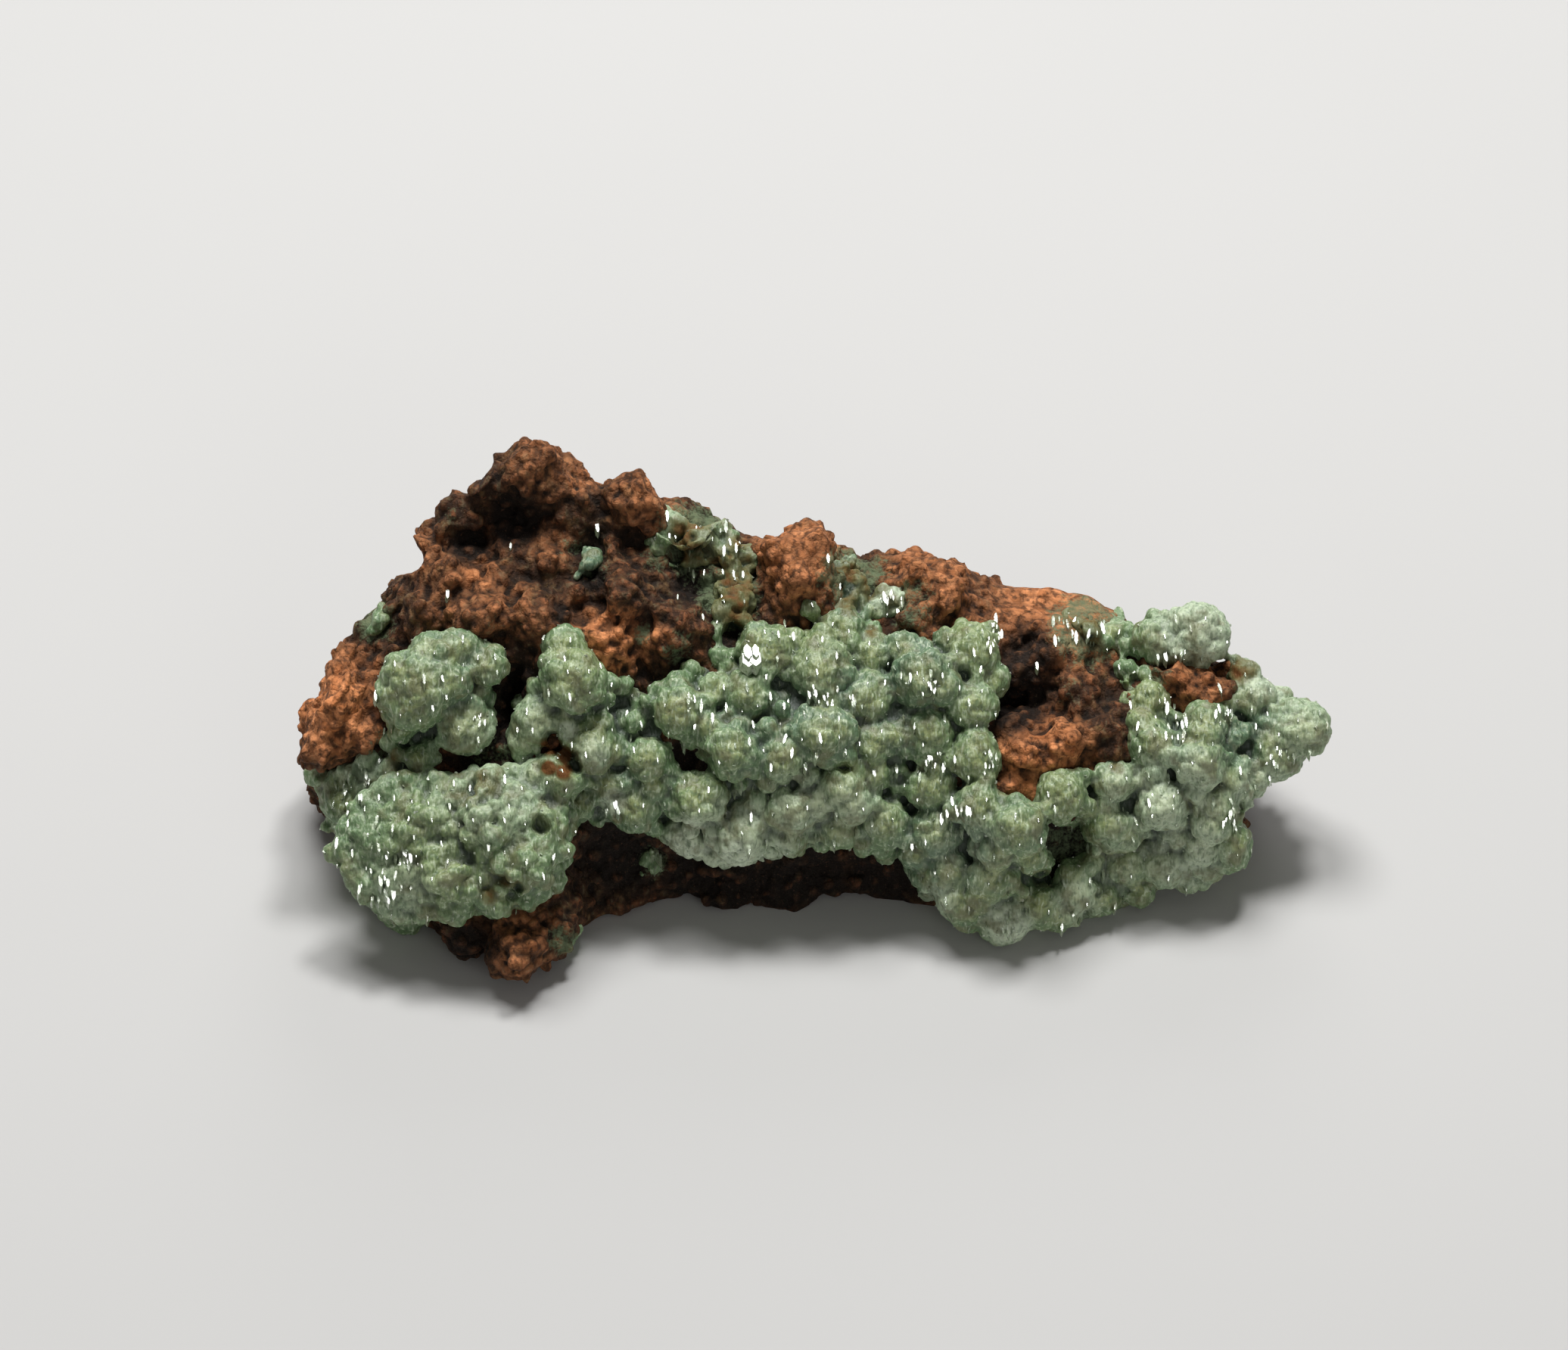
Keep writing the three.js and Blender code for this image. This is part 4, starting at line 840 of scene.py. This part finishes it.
def crust_green(tree, where, speckle, streaks):
    """Green with blue-green hollows, yellowish crowns of painted light, pale places that are partly painted
    light, specks, and streaks with painted glints
    """
    clouds = ramp(fine_noise(where, 3.0), 0.35, 0.65)
    colour = mix_colour(clouds, DEEP_GREEN, LIGHT_GREEN)
    colour = overlay(colour, BLUE_GREEN, attribute(tree, "teal"), 0.0, 1.0, 0.85)
    # Yellow-green at the yellow places, and painted light on the crowns of the balls
    yellow_glow_share = times(attribute(tree, "yellow_and_glow"), ramp(speckle, 0.3, 0.7, 0.55, 1.0))
    colour = mix_colour(yellow_glow_share, colour, YELLOW_GREEN)
    # Pale places, partly the crust's own pale grey and partly painted light
    colour = overlay(colour, PALE_AND_LIT_GREEN, attribute(tree, "pale_and_lit"), 0.0, 1.0, 0.85)
    colour = overlay(colour, LIGHT_SPECK, speckle, 0.52, 0.66, 0.5)
    colour = overlay(colour, DARK_SPECK, speckle, 0.48, 0.36, 0.5)
    # Painted glints: light streaks drawn out along the slope of the face
    colour = overlay(colour, PAINTED_GLINT, streaks, 0.56, 0.72, 0.7)
    return overlay(colour, DARK_STREAK, streaks, 0.44, 0.3, 0.5)


def crevice_shade_share(tree, rusty):
    """Share of painted shade, near black, in the crevices, less of it where the crust is rusty"""
    in_hollows = ramp(attribute(tree, "hollow"), 0.5, 0.95, 0.0, 0.85)
    in_gaps = ramp(attribute(tree, "gap"), 0.48, 0.8, 0.0, 0.94)
    return times(calculate("MAXIMUM", in_hollows, in_gaps), ramp(rusty, 0.7, 1.0, 1.0, 0.3))


def adamite_material(name, gloss, roughness):
    material, tree, shader = new_material(name)
    where = coordinates(tree)
    speckle = fine_noise(where, 0.45)
    streaks = fine_noise(streaked(where, 3.0), 0.22, 1.0)
    colour = crust_green(tree, where, speckle, streaks)
    patches = ramp(fine_noise(where, 1.5), 0.35, 0.65, -0.4, 0.3)
    rusty = calculate("ADD", attribute(tree, "rust"), patches)
    colour = overlay(colour, FILM_OLIVE, rusty, 0.0, 0.4, 0.9)
    colour = overlay(colour, FILM_BROWN, rusty, 0.5, 1.0)
    # Painted shade in the crevices
    colour = mix_colour(crevice_shade_share(tree, rusty), colour, CREVICE_SHADE)
    bumps = calculate("ADD", speckle, streaks)
    bump = add(tree, "Bump", {"Height": bumps, "Strength": 0.8, "Distance": 0.16 * MM})
    feed(shader, {
        "Base Color": colour,
        "Roughness": roughness,
        "IOR": 1.74,
        "Specular IOR Level": ramp(rusty, 0.3, 0.7, 0.5, 0.05),
        "Subsurface Weight": 0.25,
        "Subsurface Radius": (0.9, 1.1, 0.8),
        "Subsurface Scale": 0.8 * MM,
        "Coat Weight": gloss,
        "Coat Roughness": 0.08,
        "Normal": bump.outputs[0],
    })
    return material


def floor_material():
    material, tree, shader = new_material("floor")
    clouds = fine_noise(coordinates(tree), 60.0)
    feed(shader, {"Base Color": mix_colour(clouds, *FLOOR_TONES), "Roughness": 0.9})
    return material


# Rock

def rock_body():
    """The rock's solid, smoothed, with knots and lumps on it"""
    matrix = node_mesh("limonite_matrix")
    tree = tree_of(*matrix)
    knots = make_domes(tree, ROCK_KNOTS, KNOT_PROUD) + make_domes(tree, RAISED_KNOTS, RAISED_KNOT_PROUD)
    body = fuse("rock_body", joined([matrix, copies(ico(3), ball_placements(knots))]), BODY_VOXEL)
    soft = smoothed(body, vertices(body), BODY_ROUNDS, PUSH_BACK)
    unevenness = 1.0 - near(to_face(soft), EVEN_PLACES)
    rough = relief(soft, ROCK_WAVES) + unevenness * relief(soft, ROCK_LUMPS) - BODY_INSET
    soft += normals(body) * rough[:, None]
    soft = smoothed(body, soft, 2)
    set_vertices(body, soft)
    triangles = triangles_of(body)
    bpy.data.objects.remove(body)
    return soft, triangles


def rock_grains(body, crust_tree):
    """Grains close together over the bare rock"""
    def bare(spot, direction):
        place = to_face(spot)
        if spot[2] < LOWEST_GRAIN or near(place[None], EVEN_PLACES)[0] > UNGRAINED:
            return False
        u, v, w = place
        cover = height(crust_tree, u, v)
        if cover is None or direction @ FRONT < 0:
            return True
        return w > cover - BARE_DEPTH or w < cover - COVER_DEPTH

    placements = []
    for spot, direction in surface_samples(*body, GRAIN_SPACING, bare):
        radius = chance.uniform(*GRAIN_RADII)
        sizes = np.diag([radius * chance.uniform(*GRAIN_STRETCH) for _ in range(3)])
        lift = radius * chance.uniform(*GRAIN_LIFT)
        placements.append((turn_to(direction, GRAIN_TILT) @ sizes, spot + direction * lift))
    return copies(ico(2), placements)


def paint_rock(rock, shape, even):
    places = to_face(shape)
    in_front = np.clip((places[:, 2] + COLOUR_DEPTH) / COLOUR_FADE, 0.0, 1.0)
    in_front *= np.clip(0.6 + 1.5 * (normals(rock) @ FRONT), 0.0, 1.0)
    # Orange and green stain are the rock's own colours; the middle layer marks where shade is painted
    for name, spots in (("orange", ORANGE_PLACES), ("painted_shade", SHADE_PLACES), ("stain", STAIN_PLACES)):
        paint(rock, name, near(places, spots) * in_front)
    paint(rock, "hollow", hollow(rock, shape, *ROCK_HOLLOWS) * (1.0 - 0.5 * even))
    paint(rock, "gap", hollow(rock, shape, *ROCK_GAPS))


def build_rock(material, crust_tree):
    """Fused skin round the rock's body and its grains"""
    body = rock_body()
    rock = fuse("limonite_rock", joined([body, rock_grains(body, crust_tree)]), ROCK_VOXEL)
    shape = smoothed(rock, vertices(rock), 1)
    even = near(to_face(shape), EVEN_PLACES)
    shape += pulled(to_face(shape), ROCK_PULLS)
    shape += normals(rock) * (relief(shape, ROCK_GRIT) * (1.0 - EVEN_GRIT_LOSS * even))[:, None]
    shape[:, 2] = np.maximum(shape[:, 2], 0.0)
    set_vertices(rock, shape)
    paint_rock(rock, shape, even)
    finish_piece(rock, material, ["limonite_matrix"])
    return rock


# Balls of the crust

def make_domes(tree, balls, proud=0.0):
    """Balls [u, v, w, radius] that stand out of the solid by a share `proud` of their radius"""
    domes = []
    for u, v, radius in balls:
        top = height(tree, u, v)
        if top is not None:
            place = np.array([[u, v, 0.0]])
            radius *= 1.0 - FILM_SHRINK * near(place, FILM_PLACES)[0]
            sink = SHEET_SINK * near(place, SHEET_PLACES)[0]
            domes.append((u, v, top - radius * (1 - proud) - sink, radius))
    return domes


def make_film(tree):
    """Scattered small balls that make up the thin film"""
    film = []
    for u, v, radius, _ in FILM_PLACES:
        for _ in range(int(FILM_BALLS_PER_AREA * radius ** 2)):
            place, _ = spot_in_ellipse(u, v, radius, radius)
            small = chance.uniform(*FILM_BALL_RADII)
            top = height(tree, *place)
            if top is not None:
                film.append((*place, top - small * chance.uniform(*FILM_BALL_DEPTHS), small))
    return film


def make_swells(tree):
    """Swellings as centre [u, v, w] and half sizes, their tops under the solid's"""
    swells = []
    for u, v, half_width, half_height, thickness, depth in SWELLS:
        top = height(tree, u, v) - depth
        swells.append(([u, v, top - thickness], [half_width, half_height, thickness]))
    return swells


def make_grit(swells):
    """Small balls all over the outer side of the swellings"""
    grit = []
    for (u, v, w), (half_width, half_height, thickness) in swells:
        for _ in range(int(GRIT_PER_AREA * half_width * half_height)):
            place, out = spot_in_ellipse(u, v, half_width, half_height, GRIT_EDGE)
            small = chance.uniform(*GRIT_RADII)
            rise = thickness * math.sqrt(1.0 - out ** 2) - small * chance.uniform(*GRIT_DEPTHS)
            grit.append((*place, w + rise, small))
    return grit


def make_pimples(domes):
    """Small balls all over the outer side of the larger balls"""
    pimples = []
    for u, v, w, radius in domes:
        if radius < LEAST_PIMPLED:
            continue
        for _ in range(int(PIMPLES_PER_RADIUS * radius)):
            turn = chance.uniform(0, math.tau)
            lean = math.sqrt(chance.random()) * WIDEST_LEAN
            small = radius * chance.uniform(*PIMPLE_SHARES)
            reach = radius - small * chance.uniform(*PIMPLE_DEPTHS)
            pimples.append((
                u + reach * math.sin(lean) * math.cos(turn),
                v + reach * math.sin(lean) * math.sin(turn),
                w + reach * math.cos(lean),
                small,
            ))
    return pimples


def make_knobs(points, faces, spacing, radii, domes=()):
    """Small balls over the outer side of a crust, beside its larger balls"""
    def outer(spot, direction):
        if direction @ FRONT < KNOB_FACING or spot[2] < LOWEST_KNOB:
            return False
        place = to_face(spot)
        return all(np.linalg.norm(place - [u, v, w]) > KNOB_CLEARANCE * radius for u, v, w, radius in domes)

    knobs = []
    for spot, direction in surface_samples(points, faces, spacing, outer):
        radius = chance.uniform(*radii)
        centre = spot - direction * radius * chance.uniform(*KNOB_DEPTHS)
        knobs.append((*to_face(centre), radius))
    return knobs


# Crust

def crown_of(places, domes):
    """1 at the outermost point of a ball falling to 0 at its side; it places the painted light on the
    crowns
    """
    best = np.zeros(len(places))
    for u, v, w, radius in domes:
        distance = np.linalg.norm(places - [u, v, w + radius], axis=1) / radius
        best = np.maximum(best, np.clip(1.3 - 1.5 * distance, 0.0, 1.0))
    return best


def worn_pad(name, node, wear):
    """The solid of a crust, smoothed and unevenly worn down, its underside sunk towards the rock"""
    pad = fuse(name + "_pad", node_mesh(node), PAD_VOXEL)
    outward = normals(pad)
    up = outward @ FRONT
    soft = smoothed(pad, vertices(pad), PAD_ROUNDS, PUSH_BACK)
    waves = WAVY_WEAR * waves_at(soft, WEAR_WIDTH)
    sink = wear * (1.0 + FILM_WEAR * near(to_face(soft), FILM_PLACES) + waves)
    soft -= outward * (sink * (up > WORN_FACING))[:, None]
    soft -= np.outer(np.clip(-2.0 * up, 0.0, 1.0), FRONT) * PAD_SINK
    triangles = triangles_of(pad)
    bpy.data.objects.remove(pad)
    return soft, triangles


def paint_crust(crust, shape, domes, film, pits):
    places = to_face(shape)
    # Yellow places are the crust's own tone; the yellow on each ball's crown is painted light
    paint(crust, "yellow_and_glow", np.maximum(CROWN_GLOW * crown_of(places, domes), near(places, YELLOW_PLACES)))
    paint(crust, "teal", near(places, TEAL_PLACES))
    # Partly the crust's own pale grey, partly painted light on shaded parts
    paint(crust, "pale_and_lit", near(places, PALE_AND_LIT_PLACES))
    paint(crust, "hollow", hollow(crust, shape, *CRUST_HOLLOWS))
    # The gap layer also carries painted shade into the pits of the film
    paint(crust, "gap", np.maximum(hollow(crust, shape, *CRUST_GAPS), PIT_SHADE * pits))
    paint(crust, "rust", np.maximum(near(places, RUST_PLACES), FILM_RUST * film))


def build_crust(name, node, domes, knobs, swells, wear, voxel, material):
    """Fused skin round the solid of a crust, its balls, small knobs and swellings"""
    rounds = ball_placements(domes + knobs)
    rounds += [(FACE_AXES.T @ np.diag(half_sizes), to_row(centre)) for centre, half_sizes in swells]
    crust = fuse(name, joined([worn_pad(name, node, wear), copies(ico(3), rounds)]), voxel)
    shape = smoothed(crust, vertices(crust), 2)
    places = to_face(shape)
    film = near(places, FILM_PLACES)
    shape += film[:, None] * (smoothed(crust, shape, FILM_ROUNDS) - shape)
    pits = film * np.clip(PIT_SHARPNESS * waves_at(shape, PIT_WIDTH, PIT_SEED), 0.0, 1.0)
    shape += normals(crust) * (relief(shape, DRUSE) - PIT_DEPTH * pits)[:, None]
    shape -= np.outer(HOLE_DEPTH * near(places, HOLE_PLACES), FRONT)
    shape += pulled(places, CRUST_PULLS)
    shape[:, 2] = np.maximum(shape[:, 2], 0.0)
    set_vertices(crust, shape)
    paint_crust(crust, shape, domes, film, pits)
    finish_piece(crust, material, [node])
    return crust


def build_main_crust(mesh, tree, material):
    domes = make_domes(tree, BALLS) + make_domes(tree, SMALL_BALLS, SMALL_BALL_PROUD)
    domes += make_domes(tree, RAISED_BALLS, RAISED_BALL_PROUD)
    swells = make_swells(tree)
    knobs = make_knobs(*mesh, *CRUST_KNOBS, domes)
    knobs += make_pimples(domes) + make_grit(swells) + make_film(tree)
    return build_crust("adamite_botryoids", "adamite_crust", domes, knobs, swells,
                       PAD_WEAR, CRUST_VOXEL, material)


def build_patch(node, material):
    """One of the small growths beside the crust"""
    knobs = make_knobs(*node_mesh(node), *PATCH_KNOBS)
    build_crust(node + "_druse", node, [], knobs, [], 0.0, PATCH_VOXEL, material)


# Crystals

def chisel():
    """A crystal tip: a four-sided foot that narrows to a ridge"""
    points = [[-1, -0.6, -1], [1, -0.6, -1], [1, 0.6, -1], [-1, 0.6, -1], [-0.55, 0, 1], [0.55, 0, 1]]
    faces = [[0, 2, 1], [0, 3, 2], [0, 1, 5], [0, 5, 4], [1, 2, 5], [2, 3, 4], [2, 4, 5], [3, 0, 4]]
    return np.array(points, float), np.array(faces)


def tablet():
    """A flat six-sided crystal whose top facet faces +Z"""
    ring = [[0.42 * math.sin(k * math.pi / 3), 1.2 * math.cos(k * math.pi / 3)] for k in range(6)]
    ring.reverse()
    points = [[x, y, 0.0] for x, y in ring] + [[1.35 * x, 1.35 * y, -1.4] for x, y in ring]
    faces = []
    for k in range(6):
        after = (k + 1) % 6
        faces += [[k, 6 + k, 6 + after], [k, 6 + after, after]]
    for k in range(1, 5):
        faces += [[0, k, k + 1], [6, 6 + k + 1, 6 + k]]
    return np.array(points, float), np.array(faces)


def make_tips(points, faces):
    """Placements of crystal tips over the whole crust"""
    tips = []
    for spot, direction in surface_samples(points, faces, TIP_SPACING):
        if direction @ FRONT < TIP_FACING or spot[2] < LOWEST_TIP:
            continue
        size = chance.uniform(*TIP_SIZES)
        tips.append((turn_to(direction, TIP_TILT) * size, spot - direction * size * TIP_SINK))
    return tips


def drawn_facet(least, more, spread, breadth):
    """Size, spread and breadth of a facet, its size more often near the least"""
    return least + more * chance.random() ** 2, spread, breadth


def make_facets(crust_mesh, tree, toward_light):
    """Placements of facets that flash towards the front"""
    facets = []

    def facet(place, size, spread, breadth, lift=FACET_LIFT):
        u, v, w = place
        turn = upright_turn(toward_light, spread) @ np.diag([breadth * size, size, size])
        facets.append((turn, to_row([u, v, w + lift * size])))

    def seated_facet(u, v, size, spread, breadth):
        """A facet where the surface carries both of its ends"""
        w = height(tree, u, v)
        ends = [height(tree, u, v + size), height(tree, u, v - size)]
        if w is not None and all(end is not None and end >= w - FACET_OVERHANG * size for end in ends):
            facet((u, v, w), size, spread, breadth)

    for u, v, radius, count in GLITTER:
        for _ in range(count):
            place, _ = spot_in_ellipse(u, v, radius, radius)
            seated_facet(*place, *drawn_facet(*GLITTER_FACETS))
    for spot, direction in surface_samples(*crust_mesh, SCATTER_SPACING):
        if direction @ FRONT > FACET_FACING:
            u, v, _ = to_face(spot)
            seated_facet(u, v, *drawn_facet(*SCATTERED_FACETS))
    bright_top = max(height(tree, u, v) for u, v, _, _ in BRIGHT_FACETS) + BRIGHT_HEIGHT
    for u, v, size, breadth in BRIGHT_FACETS:
        facet((u, v, bright_top), size, BRIGHT_SPREAD, breadth, lift=0.0)
    for u, v, size in LONE_FACETS:
        seated_facet(u, v, size, LONE_SPREAD, LONE_BREADTH)
    return facets


def build_crystals(crust, rock, toward_light, material):
    """Tiny crystal tips and flashing facets of the crust, as one piece"""
    crust_mesh = mesh_of(crust)
    tips = make_tips(*crust_mesh)
    facets = make_facets(crust_mesh, tree_of(*joined([crust_mesh, mesh_of(rock)])), toward_light)
    crystals = to_object("adamite_crystals", *joined([copies(chisel(), tips), copies(tablet(), facets)]))
    places = to_face(vertices(crystals))
    paint(crystals, "yellow_and_glow", near(places, YELLOW_PLACES) * 0.6)
    paint(crystals, "teal", near(places, TEAL_PLACES))
    # Painted light: the crystals are made pale all over so that their shaded sides stay light
    paint(crystals, "pale_and_lit", 0.7 + 0.3 * near(places, PALE_AND_LIT_PLACES))
    for name in ("hollow", "gap", "rust"):
        paint(crystals, name, np.zeros(len(places)))
    finish_piece(crystals, material, [], smooth=False)


# Stage

def stage():
    bpy.ops.mesh.primitive_plane_add(size=FLOOR_SIZE, location=(0, 0, 0))
    floor = bpy.context.object
    floor.name = "floor"
    floor.data.materials.append(floor_material())
    world = bpy.data.worlds.new("studio")
    world.use_nodes = True
    background = world.node_tree.nodes["Background"]
    background.inputs["Color"].default_value = STUDIO_COLOUR
    background.inputs["Strength"].default_value = STUDIO_STRENGTH
    bpy.context.scene.world = world


def lamp(name, place, size, watts):
    """Round lamp that points at the specimen"""
    light = bpy.data.lights.new(name, "AREA")
    light.shape = "DISK"
    light.size = size
    light.energy = watts
    obj = new_object(name, light)
    obj.location = place
    obj.rotation_euler = (AIM_POINT - Vector(place)).to_track_quat("-Z", "Y").to_euler()


def camera():
    """The camera, square on to the face; returns where it stands"""
    data = bpy.data.cameras.new("camera")
    data.lens = LENS
    data.sensor_width = SENSOR
    data.clip_start = NEAREST_SEEN
    obj = new_object("camera", data)
    distance = LENS / SENSOR * FRAME_WIDTH * MM
    middle = Vector(to_row(CAMERA_MIDDLE)) * MM
    obj.location = middle + OUT_OF_FACE * distance
    obj.rotation_euler = (-OUT_OF_FACE).to_track_quat("-Z", "Y").to_euler()
    bpy.context.scene.camera = obj
    return obj.location.copy()


def main():
    stage()
    for values in LAMPS:
        lamp(*values)
    eye = camera()
    bpy.context.scene.view_settings.view_transform = "Standard"
    toward_light = ((eye - AIM_POINT).normalized() + (SPARK_PLACE - AIM_POINT).normalized()).normalized()
    rock_finish = rock_material()
    skin = adamite_material("adamite", gloss=0.0, roughness=0.58)
    crystal = adamite_material("adamite_crystal", gloss=0.6, roughness=0.08)
    crust_mesh = node_mesh("adamite_crust")
    crust_tree = tree_of(*crust_mesh)
    rock = build_rock(rock_finish, crust_tree)
    crust = build_main_crust(crust_mesh, crust_tree, skin)
    for node in ("adamite_leaf", "adamite_left_rim", "adamite_wall_bit", "adamite_foot_bit"):
        build_patch(node, skin)
    build_crystals(crust, rock, toward_light, crystal)


main()
